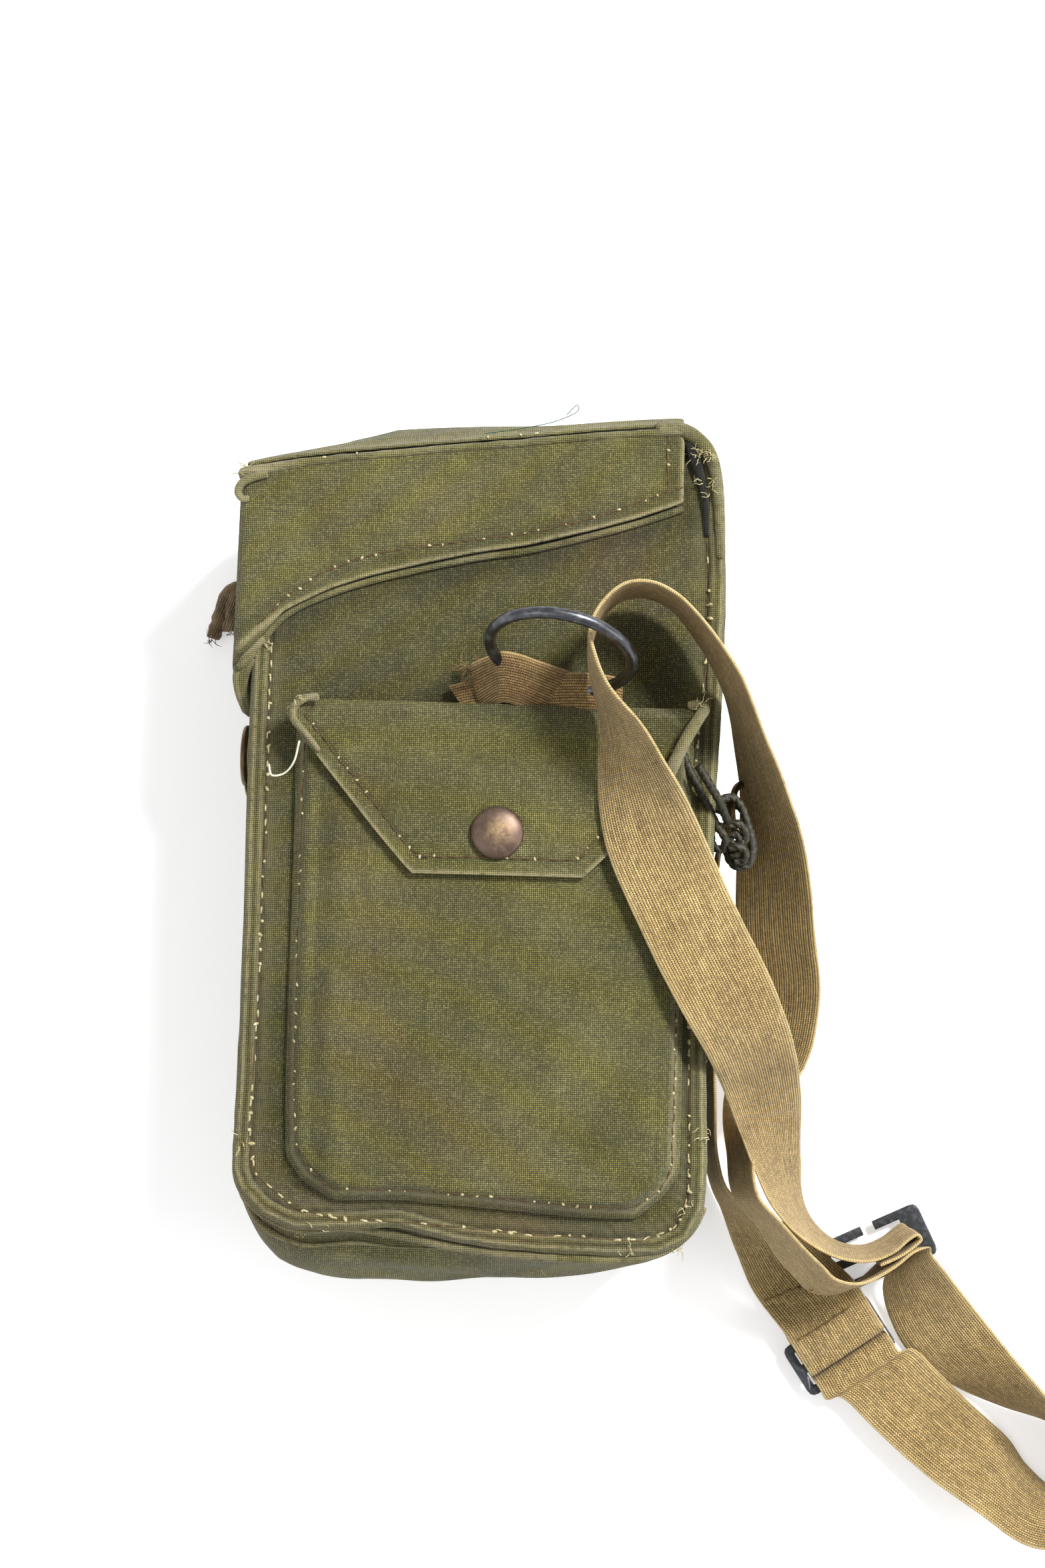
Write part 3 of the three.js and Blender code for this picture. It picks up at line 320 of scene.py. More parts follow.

# %% [markdown]
# ## Wear
# Old cotton fades in patches, takes brown stains and is rubbed pale on its folds, while dirt
# stays along its seams. Painting that by hand would need image maps, so noise fields pick the
# patches, and two attributes of each mesh say where its folds are and where the cloth is darkened:
# by dirt along its seams, and by painted shade below the lid's hem.

# %% Cloth wear group
def build_wear():
    """Faded patches, brown stains, pale worn edges, painted light and shade on the weave's tops and
    grooves, and darkening for dirt and painted shade. Edge is 1 on folds and rims.
    """
    group, start, end = new_group(
        "cloth_wear",
        [("Colour", COLOUR, (0.1, 0.1, 0.04, 1)), ("Faded", COLOUR, (0.3, 0.3, 0.2, 1)),
         ("Worn", COLOUR, (0.4, 0.36, 0.2, 1)), ("Stain", COLOUR, (0.1, 0.07, 0.03, 1)),
         ("Thread", FLOAT, 0.5), ("Height", FLOAT, 0.5),
         ("Edge", FLOAT, 0.0), ("Fading", FLOAT, 0.5), ("Staining", FLOAT, 0.5),
         ("Patch Size", FLOAT, 28.0), ("Fleck", FLOAT, 0.0), ("Flecks", FLOAT, 0.3), ("Seam", FLOAT, 0.0),
         ("Contrast", FLOAT, 1.0)],
        [("Colour", COLOUR), ("Rubbed", FLOAT)],
    )
    place = group.nodes.new("ShaderNodeNewGeometry").outputs["Position"]
    patches = ramp(group, noise_at(group, place, start.outputs["Patch Size"], 4.0, 0.6), 0.35, 0.75)
    mottle = noise_at(group, place, 160.0, 3.0, 0.6)
    stain = ramp(group, noise_at(group, stretch(group, place, 1, 0.7, 1), 19.0, 3.0), 0.48, 0.72)
    specks = ramp(group, noise_at(group, place, 900.0, 1.0), 0.6, 0.8)
    faded = maths(group, "MULTIPLY", patches, start.outputs["Fading"])
    stained = maths(group, "MULTIPLY", stain, start.outputs["Staining"])
    colour = blend_colour(group, faded, start.outputs["Colour"], start.outputs["Faded"])
    colour = blend_colour(group, stained, colour, start.outputs["Stain"])
    uneven = maths(group, "SUBTRACT", start.outputs["Thread"], 0.5)
    thread = maths(group, "MULTIPLY_ADD", uneven, 1.5, 1.0)
    # Painted light and shade: the weave's grooves are darkened and its thread tops lightened.
    depth = maths(group, "MULTIPLY", maths(group, "SUBTRACT", start.outputs["Height"], 0.6),
                  start.outputs["Contrast"])
    groove = maths(group, "MAXIMUM", maths(group, "ADD", depth, 0.95), 0.12)
    tone = maths(group, "MULTIPLY", thread, groove)
    tone = maths(group, "MULTIPLY", tone, maths(group, "MULTIPLY_ADD", mottle, 0.5, 0.78))
    grey = group.nodes.new("ShaderNodeCombineColor")
    for channel in grey.inputs:
        link(group, tone, channel)
    colour = blend_colour(group, 1.0, colour, grey.outputs[0], "MULTIPLY")
    rub_noise = ramp(group, noise_at(group, place, 420.0, 3.0, 0.7), 0.22, 0.55)
    rubbed = maths(group, "MULTIPLY", start.outputs["Edge"], rub_noise)
    top_only = maths(group, "MULTIPLY_ADD", start.outputs["Height"], 0.6, 0.4)
    rubbed = maths(group, "MULTIPLY", rubbed, top_only)
    light_specks = maths(group, "MULTIPLY", specks, 0.22)
    rubbed = maths(group, "MAXIMUM", rubbed, maths(group, "MULTIPLY", light_specks, top_only))
    flecks = maths(group, "MULTIPLY", start.outputs["Fleck"], start.outputs["Flecks"])
    rubbed = maths(group, "MAXIMUM", rubbed, flecks)
    colour = blend_colour(group, rubbed, colour, start.outputs["Worn"])
    # Darkening for dirt along seams, and painted shade below the lid's hem.
    dirt_and_shade = maths(group, "MULTIPLY", start.outputs["Seam"], ramp(group, mottle, 0.2, 0.6))
    colour = blend_colour(group, dirt_and_shade, colour, start.outputs["Stain"], "MULTIPLY")
    link(group, colour, end.inputs["Colour"])
    link(group, rubbed, end.inputs["Rubbed"])
    return group


wear_group = build_wear()
print("node groups:", [g.name for g in bpy.data.node_groups])

# %% [markdown]
# ## Cloth materials
# The canvas is green cotton, faded and stained brown in large soft patches and rubbed pale on
# every fold. The rubbed folds come from an attribute called edge that each mesh stores for its
# rims, so wear stays where a hand or a table would rub. All cloth shares one recipe: a weave
# group, the wear group and a bump, under a rough shader with a little sheen.

# %% Cloth material
CLOTH_ROUGHNESS = 0.92
CLOTH_SHEEN = 0.12


def cloth_material(name, base, faded, worn, stain, pitch, ratio=1.0, fading=0.5, staining=0.5, patch=28.0,
                   depth=0.00024, weave_group=plain_weave, flecks=0.22, contrast=2.2):
    """Colours are display codes. pitch is the threads' spacing in metres, and depth the bump's."""
    material = bpy.data.materials.new(name)
    material.use_nodes = True
    tree = material.node_tree
    shader = tree.nodes["Principled BSDF"]
    uv = tree.nodes.new("ShaderNodeUVMap")
    uv.uv_map = "threads"
    weave = tree.nodes.new("ShaderNodeGroup")
    weave.node_tree = weave_group
    weave.inputs["Pitch"].default_value = pitch
    weave.inputs["Across Ratio"].default_value = ratio
    link(tree, uv.outputs["UV"], weave.inputs["Vector"])
    edge = tree.nodes.new("ShaderNodeAttribute")
    edge.attribute_name = "edge"
    wear = tree.nodes.new("ShaderNodeGroup")
    wear.node_tree = wear_group
    for label, code in (("Colour", base), ("Faded", faded), ("Worn", worn), ("Stain", stain)):
        wear.inputs[label].default_value = hex_colour(code)
    for label, value in (("Fading", fading), ("Staining", staining), ("Patch Size", patch),
                         ("Flecks", flecks), ("Contrast", contrast)):
        wear.inputs[label].default_value = value
    for label in ("Thread", "Height", "Fleck"):
        link(tree, weave.outputs[label], wear.inputs[label])
    link(tree, edge.outputs["Fac"], wear.inputs["Edge"])
    dirt_and_shade = tree.nodes.new("ShaderNodeAttribute")
    dirt_and_shade.attribute_name = "dirt_and_shade"
    link(tree, dirt_and_shade.outputs["Fac"], wear.inputs["Seam"])
    link(tree, wear.outputs["Colour"], shader.inputs["Base Color"])
    bump = tree.nodes.new("ShaderNodeBump")
    bump.inputs["Strength"].default_value = 0.9
    bump.inputs["Distance"].default_value = depth
    link(tree, weave.outputs["Height"], bump.inputs["Height"])
    link(tree, bump.outputs["Normal"], shader.inputs["Normal"])
    shader.inputs["Roughness"].default_value = CLOTH_ROUGHNESS
    shader.inputs["Specular IOR Level"].default_value = 0.25
    shader.inputs["Sheen Weight"].default_value = CLOTH_SHEEN
    shader.inputs["Sheen Roughness"].default_value = 0.6
    return material


CANVAS_PITCH = 0.67 * MM
WEB_PITCH = 0.95 * MM
green_canvas = cloth_material("green_canvas", 0x504D24, 0x807B4A, 0xA79D78, 0x59472A, CANVAS_PITCH,
                              fading=0.4, staining=0.38)
# The front panel's darker copy of the canvas is partly its own colour and partly painted shade, as the panel
# lies low between the lid and the pocket.
shaded_panel_canvas = cloth_material("shaded_panel_canvas", 0x43401C, 0x706B40, 0xA79D78, 0x4E3E24, CANVAS_PITCH,
                              fading=0.35, staining=0.5)
tan_webbing = cloth_material("tan_webbing", 0x8E774A, 0xB0986A, 0xCDB784, 0x705632, WEB_PITCH, ratio=0.85,
                             fading=0.5, staining=0.25, patch=22.0, depth=0.0004,
                             weave_group=ribbed_weave, flecks=0.3, contrast=2.4)
brown_tape = cloth_material("brown_tape", 0x64503A, 0x8A7452, 0x9A8460, 0x40301F, 0.9 * MM, ratio=0.8,
                            fading=0.5, staining=0.5, patch=90.0, depth=0.0004,
                            weave_group=ribbed_weave, contrast=2.0)
# Near-black cloth that paints the shade inside the mouth's gap beside the lid.
painted_shade_cloth = cloth_material("painted_shade_cloth", 0x17150D, 0x2C281B, 0x3A3424, 0x100D08, CANVAS_PITCH)
print("cloths:", [m.name for m in bpy.data.materials])

# %% [markdown]
# ## Metals, lacquer and threads
# The small fittings are old: steel gone dark, brass gone brown and black lacquer rubbed at the
# corners. The threads are too thin to show a weave. One recipe serves them all: two colours
# mixed by fine mottling, which also varies the roughness, so no surface shines evenly.

# %% Plain material
def plain_material(name, base, roughness, metallic=0.0, speck=0xFFFFFF, speck_amount=0.0, scale=300.0,
                   bump_depth=0.0, worn=None):
    """A metal, lacquer or thread with fine mottling and worn specks. Where the mesh stores an
    edge, worn is the colour there; the stud uses it for a painted highlight on its dome."""
    material = bpy.data.materials.new(name)
    material.use_nodes = True
    tree = material.node_tree
    shader = tree.nodes["Principled BSDF"]
    place = tree.nodes.new("ShaderNodeNewGeometry").outputs["Position"]
    mottle = noise_at(tree, place, scale, 4.0, 0.65)
    mask = maths(tree, "MULTIPLY", ramp(tree, mottle, 0.45, 0.72), speck_amount)
    colour = blend_colour(tree, mask, hex_colour(base), hex_colour(speck))
    if worn is not None:
        edge = tree.nodes.new("ShaderNodeAttribute")
        edge.attribute_name = "edge"
        # Only the stud sets worn: there this paints a highlight on the dome's middle.
        rubbed = maths(tree, "MULTIPLY", edge.outputs["Fac"], ramp(tree, mottle, 0.3, 0.6))
        colour = blend_colour(tree, rubbed, colour, hex_colour(worn))
    link(tree, colour, shader.inputs["Base Color"])
    rough = maths(tree, "MULTIPLY_ADD", mottle, 0.25, roughness - 0.12)
    link(tree, rough, shader.inputs["Roughness"])
    shader.inputs["Metallic"].default_value = metallic
    if bump_depth:
        bump = tree.nodes.new("ShaderNodeBump")
        bump.inputs["Distance"].default_value = bump_depth
        link(tree, mottle, bump.inputs["Height"])
        link(tree, bump.outputs["Normal"], shader.inputs["Normal"])
    return material


dark_steel = plain_material("dark_steel", 0x55565A, 0.36, 1.0, 0x8C8D92, 0.6, 260.0, 0.0001)
aged_brass = plain_material("aged_brass", 0x5C4C36, 0.4, 0.9, 0x8C7650, 0.5, 380.0, 0.00005)
# The stud's worn colour is a painted highlight, paler on the dome's middle.
highlit_stud_bronze = plain_material("highlit_stud_bronze", 0x67554A, 0.46, 0.85, 0x88705E, 0.5, 420.0, 0.00004,
                             worn=0xA98F68)
black_paint = plain_material("black_paint", 0x25282C, 0.42, 0.0, 0x5A5F66, 0.5, 500.0, 0.00008)
waxed_cord = plain_material("waxed_cord", 0x242116, 0.56, 0.0, 0x524C33, 0.7, 900.0, 0.0002)
pale_thread = plain_material("pale_thread", 0xA89E74, 0.85, 0.0, 0xDDD6B0, 0.7, 700.0)
dark_thread = plain_material("dark_thread", 0x4A3A20, 0.9, 0.0, 0x75603A, 0.5, 700.0)
web_thread = plain_material("web_thread", 0x6A5632, 0.9, 0.0, 0x8F7748, 0.5, 700.0)
print("materials:", len(bpy.data.materials))

# %% [markdown]
# ## Soft cloth from the plain solids
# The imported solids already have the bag's true outline, but their faces are flat and their rims
# sharp. A copy of a solid, welded, turned back into four-sided faces and subdivided, rounds the
# cloth's edges. A slow noise field then moves each point a little, and every layer on the front
# uses the same field, so the layers stay apart and ripple together.

# %% Ripple field
def ripple(x, y):
    """Height in metres of the front's slow ripples at a place."""
    place = Vector((x, y, 0.0))
    slow = noise.noise(place * 14.0) * 1.5
    middle = noise.noise(place * 42.0 + Vector((3.0, 7.0, 1.0))) * 0.55
    fine = noise.noise(place * 130.0 + Vector((9.0, 2.0, 5.0))) * 0.16
    return (slow + middle + fine) * MM


print("ripple at the stud, mm:", round(ripple(0.0, 0.0) / MM, 2))

# %% From a plain solid to a piece
WELD = 0.02 * MM


def weld_and_square(mesh):
    """Joins the points that the file keeps apart, and pairs triangles into four-sided faces."""
    bm = bmesh.new()
    bm.from_mesh(mesh)
    bmesh.ops.remove_doubles(bm, verts=bm.verts, dist=WELD)
    bmesh.ops.join_triangles(
        bm, faces=bm.faces, angle_face_threshold=math.radians(50), angle_shape_threshold=math.radians(60),
        cmp_seam=False, cmp_sharp=False, cmp_uvs=False, cmp_vcols=False, cmp_materials=False,
    )
    bm.to_mesh(mesh)
    bm.free()


def apply_modifiers(obj):
    """Turns what the modifiers make into the piece's own mesh."""
    depsgraph = bpy.context.evaluated_depsgraph_get()
    evaluated = obj.evaluated_get(depsgraph)
    mesh = bpy.data.meshes.new_from_object(evaluated)
    obj.modifiers.clear()
    obj.data = mesh


def box_threads(mesh, turned=0.0):
    """UVs in metres from the face's main direction, so thread runs along the bag's axes."""
    layer = mesh.uv_layers.get("threads") or mesh.uv_layers.new(name="threads")
    cos, sin = math.cos(turned), math.sin(turned)
    for polygon in mesh.polygons:
        n = polygon.normal
        steep = max(abs(n.x), abs(n.y), abs(n.z))
        for loop in polygon.loop_indices:
            p = mesh.vertices[mesh.loops[loop].vertex_index].co
            if steep == abs(n.z):
                u, v = p.x, p.y
            elif steep == abs(n.x):
                u, v = p.z, p.y
            else:
                u, v = p.x, p.z
            layer.data[loop].uv = (u * cos - v * sin, u * sin + v * cos)


def store_edge(mesh, value_at):
    """Writes the edge attribute, which the wear shader reads, from a function of a point."""
    attribute = mesh.attributes.get("edge") or mesh.attributes.new("edge", "FLOAT", "POINT")
    for k, vertex in enumerate(mesh.vertices):
        attribute.data[k].value = value_at(vertex.co)


def store_dirt_and_shade(mesh, value_at):
    """Writes the attribute where the wear shader darkens the cloth: dirt along seams, and painted shade
    below the lid's hem on the front panel.
    """
    attribute = mesh.attributes.new("dirt_and_shade", "FLOAT", "POINT")
    attribute.data.foreach_set("value", [value_at(v.co) for v in mesh.vertices])


def finish_piece(obj, material, slot, *replaced):
    """Gives a piece its finish and body, and hides the solids it stands for."""
    obj.data.materials.clear()
    obj.data.materials.append(material)
    for polygon in obj.data.polygons:
        polygon.use_smooth = True
    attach(obj, "root")
    if replaced:
        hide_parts(*replaced)
    return obj


def place_mesh(name, mesh):
    """An object in the scene that shows the mesh."""
    obj = bpy.data.objects.new(name, mesh)
    bpy.context.scene.collection.objects.link(obj)
    return obj


def new_piece(name, vertices, faces):
    mesh = bpy.data.meshes.new(name)
    mesh.from_pydata([tuple(v) for v in vertices], [], [tuple(f) for f in faces])
    mesh.update()
    return place_mesh(name, mesh)


def soft_copy(name, node, levels, plain=0):
    """A rounded, finely divided copy of a CAD node. The first plain levels keep the corners."""
    mesh = nodes[node].data.copy()
    mesh.name = name
    obj = place_mesh(name, mesh)
    weld_and_square(mesh)
    for extra in list(mesh.uv_layers):
        mesh.uv_layers.remove(extra)
    for kind, count in (("SIMPLE", plain), ("CATMULL_CLARK", levels - plain)):
        if count:
            divide = obj.modifiers.new(kind.lower(), "SUBSURF")
            divide.subdivision_type = kind
            divide.levels = divide.render_levels = count
    apply_modifiers(obj)
    return obj


print("solids to dress:", len(nodes))

# %% [markdown]
# ## Outlines
# Hems, welts and stitches all follow the rims of the pieces. The rims are written once as walks
# of points, and a function made from a walk tells how far any point is from it. Wear, dirt and
# raised rims are then simple functions of that distance.

# %% Distance to a walk
def nearest_on(walk):
    """A function that gives the distance from a point to an open walk of (x, y) points."""
    points = np.array(walk, float)
    starts, ends = points[:-1], points[1:]
    runs = ends - starts
    lengths = np.maximum((runs ** 2).sum(1), 1e-12)

    def distance(x, y):
        p = np.array((x, y))
        share = np.clip(((p - starts) * runs).sum(1) / lengths, 0, 1)
        nearest = starts + runs * share[:, None]
        return float(np.sqrt(((p - nearest) ** 2).sum(1)).min())

    return distance


def fade(distance, width):
    """1 at no distance, falling smoothly to 0 at width."""
    t = clamp(1.0 - distance / width)
    return t * t * (3 - 2 * t)


print("fade at a quarter, a half and three quarters:", [round(fade(d, 1.0), 2) for d in (0.25, 0.5, 0.75)])

# %% Outlines as shares of the half width and the half height
front_edge = [
    (-1.0, 0.86), (-1.0, 0.55), (-0.997, 0.1), (-0.987, -0.3), (-0.985, -0.62), (-0.993, -0.82),
    (-0.965, -0.87), (-0.86, -0.93), (-0.73, -0.96), (-0.5, -0.955), (-0.3, -0.945),
    (-0.05, -0.98), (0.25, -0.995), (0.55, -1.0), (0.78, -0.995), (0.91, -0.96), (0.972, -0.88),
    (0.978, -0.78), (0.968, -0.6), (0.968, -0.38), (0.985, 0.05), (1.01, 0.35), (1.015, 0.65),
    (0.995, 0.86), (0.945, 0.955), (0.85, 0.992),
]
pocket_edge = [
    (-0.8, 0.255), (-0.79, 0.0), (-0.787, -0.3), (-0.785, -0.6), (-0.77, -0.79), (-0.7, -0.845),
    (-0.57, -0.89), (-0.3, -0.885), (0.1, -0.9), (0.45, -0.915), (0.69, -0.915), (0.8, -0.86),
    (0.865, -0.81), (0.868, -0.6), (0.868, -0.35), (0.88, 0.0), (0.895, 0.255),
]
flap_edge = [
    (-0.78, 0.286), (-0.83, 0.262), (-0.81, 0.23), (-0.62, 0.1), (-0.43, -0.03), (-0.32, -0.1),
    (-0.28, -0.122), (0.43, -0.122), (0.47, -0.1), (0.6, -0.03), (0.79, 0.1), (0.93, 0.23),
    (0.945, 0.262), (0.89, 0.286),
]
lid_hem = [
    (0.825, 0.976), (0.825, 0.806), (0.64, 0.766), (0.45, 0.732), (0.18, 0.69), (-0.06, 0.666),
    (-0.33, 0.63), (-0.52, 0.6), (-0.68, 0.567), (-0.86, 0.515), (-0.98, 0.462), (-1.06, 0.42),
]


def in_metres(shares):
    return [(x * HALF_WIDTH, y * HALF_HEIGHT) for x, y in shares]


front_walk = in_metres(front_edge)
pocket_walk = in_metres(pocket_edge)
flap_walk = in_metres(flap_edge)
lid_walk = in_metres(lid_hem)
from_front = nearest_on(front_walk)
from_pocket = nearest_on(pocket_walk)
from_flap = nearest_on(flap_walk)
from_lid = nearest_on(lid_walk)
print("from the bag's middle to the front's rim, mm:", round(from_front(0, 0) / MM, 1))

# %% [markdown]
# ## Front and back panels
# The bag's front and back are flat cloth with rounded corners. On the real bag the front panel's
# rim is tucked into the welt, so the dressed panel is widened by a few millimetres to close the
# slit beside it. Near the welt each stitch pulls a small dent into the cloth.

# %% Front and back panels
STITCH_PITCH = 5.0 * MM
PINCH = 0.22 * MM
TUCK = 2.6 * MM


def pinch(x, y, pitch=STITCH_PITCH):
    """Small dents from stitches, along whichever way the walk runs."""
    return math.sin((x + y) * 2 * math.pi / pitch)


front_panel = soft_copy("front_panel_cloth", "front_panel", 4, 1)
for vertex in front_panel.data.vertices:
    vertex.co.z += ripple(vertex.co.x, vertex.co.y)
for vertex in front_panel.data.vertices:
    vertex.co.x *= 1 + TUCK / HALF_WIDTH
    vertex.co.y *= 1 + TUCK / HALF_HEIGHT
for vertex in front_panel.data.vertices:
    near = fade(from_front(vertex.co.x, vertex.co.y) - 6 * MM, 9 * MM)
    vertex.co.z += PINCH * near * pinch(vertex.co.x, vertex.co.y)
box_threads(front_panel.data)
store_edge(front_panel.data, lambda p: 0.2 * fade(from_front(p.x, p.y) - 6 * MM, 7 * MM))
# Dirt darkens the welt's stitch line. Painted shade darkens the panel just below the lid's hem, where the
# lid's shade falls.
store_dirt_and_shade(front_panel.data, lambda p: 0.55 * fade(abs(from_front(p.x, p.y) - 6.2 * MM), 1.6 * MM)
           + 0.5 * fade(abs(from_lid(p.x, p.y) - 4 * MM), 8 * MM))
# The darker canvas gives the front panel painted shade as well as its own colour.
finish_piece(front_panel, shaded_panel_canvas, "green_canvas", "front_panel")

back_panel = soft_copy("back_panel_cloth", "back_panel", 3)
box_threads(back_panel.data)
store_edge(back_panel.data, lambda p: 0.3 * fade(from_front(p.x, p.y) - 6 * MM, 9 * MM))
finish_piece(back_panel, green_canvas, "green_canvas", "back_panel")
print("panel faces:", len(front_panel.data.polygons), len(back_panel.data.polygons))

# %% [markdown]
# ## Walls
# The side walls and the bottom wall are one long strip of canvas. It is slack, so it bulges and
# dents slowly, and the bottom wall sags out below the front, most at the left. A cloth simulation
# would need the bag's contents to push on it. A table of sags, measured across the photograph,
# and two noise fields give the same folds and are easier to steer.

# %% Walls
# The sag in millimetres at places across the bag, and where the bottom wall begins.
BOTTOM_FROM = -100 * MM
SAG_PLACES = (-82, -76, -66, -52, -36, -10, 20, 50, 70, 82)
SAGS = (0.5, 5, 9.5, 8.5, 6.5, 5.5, 4.5, 4, 2.5, 0)
gusset = soft_copy("gusset_cloth", "gusset", 4, 1)
for vertex in gusset.data.vertices:
    p = vertex.co
    if p.y < BOTTOM_FROM:
        low = min(1.0, (BOTTOM_FROM - p.y) / (20 * MM))
        hollow = math.sin(math.pi * min(1, max(0, p.z / BAG_DEPTH))) ** 0.6
        sag = np.interp(p.x / MM, SAG_PLACES, SAGS) * low * hollow
        crease = noise.noise(Vector((p.x * 34 + p.z * 20, 2.0, p.z * 70))) * 1.6
        p.y -= (sag + crease * low) * MM
    outward = Vector((p.x, p.y * 0.6, 0)).normalized()
    share = max(0.0, math.sin(math.pi * min(1, max(0, p.z / BAG_DEPTH))))
    wave = noise.noise(Vector((p.x * 16, p.y * 16, p.z * 40))) * 2.6
    wave += noise.noise(Vector((p.x * 40, p.y * 40, p.z * 110))) * 0.9
    vertex.co += outward * wave * share * MM
box_threads(gusset.data)
store_edge(gusset.data, lambda p: 0.35 * fade(min(p.z - 5 * MM, 81 * MM - p.z), 6 * MM))
finish_piece(gusset, green_canvas, "green_canvas", "gusset")
print("wall faces:", len(gusset.data.polygons))

# %% [markdown]
# ## Welts
# A welt is where a panel and the wall are turned and sewn together. It is a narrow roll, pinched
# by each stitch and rubbed pale on its crests. Its solid is a plain strip, so the two crests are
# raised from the distance to the rim, and the same crests say where the cloth is rubbed.

# %% Welts
WELT_HALF = 3.2 * MM


def swell(obj, amount):
    """Pushes every point out along its normal."""
    normals = [v.normal.copy() for v in obj.data.vertices]
    for vertex, normal in zip(obj.data.vertices, normals):
        vertex.co += normal * amount


def welt(name, node, lift):
    piece = soft_copy(name, node, 3, 1)
    swell(piece, 0.4 * MM)
    crests = []
    for vertex in piece.data.vertices:
        p = vertex.co
        p.x *= 1 + 0.2 * MM / HALF_WIDTH
        p.y *= 1 + 0.3 * MM / HALF_HEIGHT
        inward = from_front(p.x, p.y)
        crest = 0.5 - 0.5 * math.cos(2 * math.pi * min(1.0, inward / WELT_HALF))
        crest = max(crest, 0.8 * (0.5 - 0.5 * math.cos(2 * math.pi * max(0.0, inward / WELT_HALF - 1))))
        if lift:
            p.z += ripple(p.x, p.y) + 0.45 * MM * (crest - 0.6)
        p.z += PINCH * pinch(p.x, p.y, 4.6 * MM)
        rough = noise.noise(Vector(p) * 150.0)
        p.x += 0.3 * MM * rough
        p.y += 0.3 * MM * noise.noise(Vector(p) * 150.0 + Vector((5, 5, 5)))
        crests.append(crest)
    box_threads(piece.data)
    attribute = piece.data.attributes.new("edge", "FLOAT", "POINT")
    attribute.data.foreach_set("value", [0.12 + 0.55 * crest ** 4 for crest in crests])
    store_dirt_and_shade(piece.data, lambda p: 0.6 * fade(abs(from_front(p.x, p.y) - WELT_HALF), 0.9 * MM))
    return finish_piece(piece, green_canvas, "green_canvas", node)


front_welt = welt("front_welt", "front_seam", True)
back_welt = welt("back_welt", "back_seam", False)
print("welt faces:", len(front_welt.data.polygons), len(back_welt.data.polygons))

# %% [markdown]
# ## Lid
# The lid's front, the pocket and the flap lie on the front panel, so they use the same ripple
# field. Their hems are turned under and sewn, which makes the rim thicker and the stitch line a
# shallow groove. Along the lid's top runs a corded fold, the piping, whose middle is found from
# its solid, so the cloth beside it can be drawn up to it.

# %% Hem shape and the piping's middle
def hem_shape(distance, hem_width, roll=0.45 * MM, groove=0.3 * MM):
    """Height to add near a hem: a rolled rim and a groove at the stitch line."""
    rim = roll * fade(distance, hem_width * 0.8)
    dip = groove * math.exp(-(((distance - hem_width) / (0.9 * MM)) ** 2))
    return rim - dip


PIPE_BIN = 14 * MM
pipe_points = [v.co for v in nodes["lid_piping"].data.vertices]
pipe_bins = {}
for p in pipe_points:
    pipe_bins.setdefault(round(p.x / PIPE_BIN), []).append(p)
pipe_axis = sorted((sum((Vector(p) for p in found), Vector()) / len(found) for found in pipe_bins.values()),
                   key=lambda p: p.x)


def pipe_at(x):
    """The piping's middle at x."""
    across = [p.x for p in pipe_axis]
    return Vector((x, np.interp(x, across, [p.y for p in pipe_axis]),
                   np.interp(x, across, [p.z for p in pipe_axis])))


print("the piping's middle at the lid's middle, mm:", [round(v / MM, 1) for v in pipe_at(0.0)])

# %% Lid front
# Near the lid's left end the hem turns down the bag's side, and hangs lower there.
SIDE_FROM = -70 * MM
SIDE_RUN = 13 * MM
SIDE_DROP = 6 * MM


def toward_left_side(x):
    """0 on the lid's front and 1 at its left side."""
    return clamp((SIDE_FROM - x) / SIDE_RUN)


lid_front = soft_copy("lid_front_cloth", "lid_front", 4, 1)
for vertex in lid_front.data.vertices:
    p = vertex.co
    faces_up = fade(max(0.0, 80 * MM - p.z), 8 * MM)
    p.z += ripple(p.x, p.y) * faces_up
    p.z += hem_shape(from_lid(p.x, p.y), 6.5 * MM) * faces_up
    p.y += 2.4 * MM * fade(abs(pipe_at(p.x).y - 2 * MM - p.y), 8 * MM)
    p.x -= noise.noise(Vector(p) * 30.0) * 1.0 * MM * (1 - faces_up)
    p.y -= SIDE_DROP * toward_left_side(p.x) * fade(from_lid(p.x, p.y), 16 * MM)
box_threads(lid_front.data)
store_edge(lid_front.data, lambda p: 0.85 * fade(from_lid(p.x, p.y), 2.1 * MM))
store_dirt_and_shade(lid_front.data, lambda p: 0.35 * fade(abs(from_lid(p.x, p.y) - 4 * MM), 4.5 * MM))
finish_piece(lid_front, green_canvas, "green_canvas", "lid_front")
print("lid faces:", len(lid_front.data.polygons))

# %% Piping. It thickens into a worn ear at its left end.
EAR_START = -62 * MM
lid_piping = soft_copy("lid_piping_cloth", "lid_piping", 3)
for vertex in lid_piping.data.vertices:
    p = vertex.co
    axis = pipe_at(p.x)
    toward_ear = clamp((EAR_START - p.x) / (22 * MM))
    thicken = 1 + 0.75 * toward_ear
    p.y = axis.y + (p.y - axis.y) * thicken - 2.2 * MM * toward_ear ** 2
    p.z = axis.z + (p.z - axis.z) * thicken
    p.z += ripple(p.x, p.y) + 0.3 * MM * noise.noise(Vector(p) * 200.0)
    p.y += 0.3 * MM * noise.noise(Vector(p) * 180.0)
    p.z += 0.35 * MM * math.sin(p.y * 2 * math.pi / (2.6 * MM)) * toward_ear
box_threads(lid_piping.data)
store_edge(lid_piping.data, lambda p: 0.25 + 0.3 * noise.noise(Vector(p) * 60)
           + 0.55 * fade(max(0.0, p.x + 84 * MM), 24 * MM))
finish_piece(lid_piping, green_canvas, "worn_canvas", "lid_piping")
print("piping faces:", len(lid_piping.data.polygons))

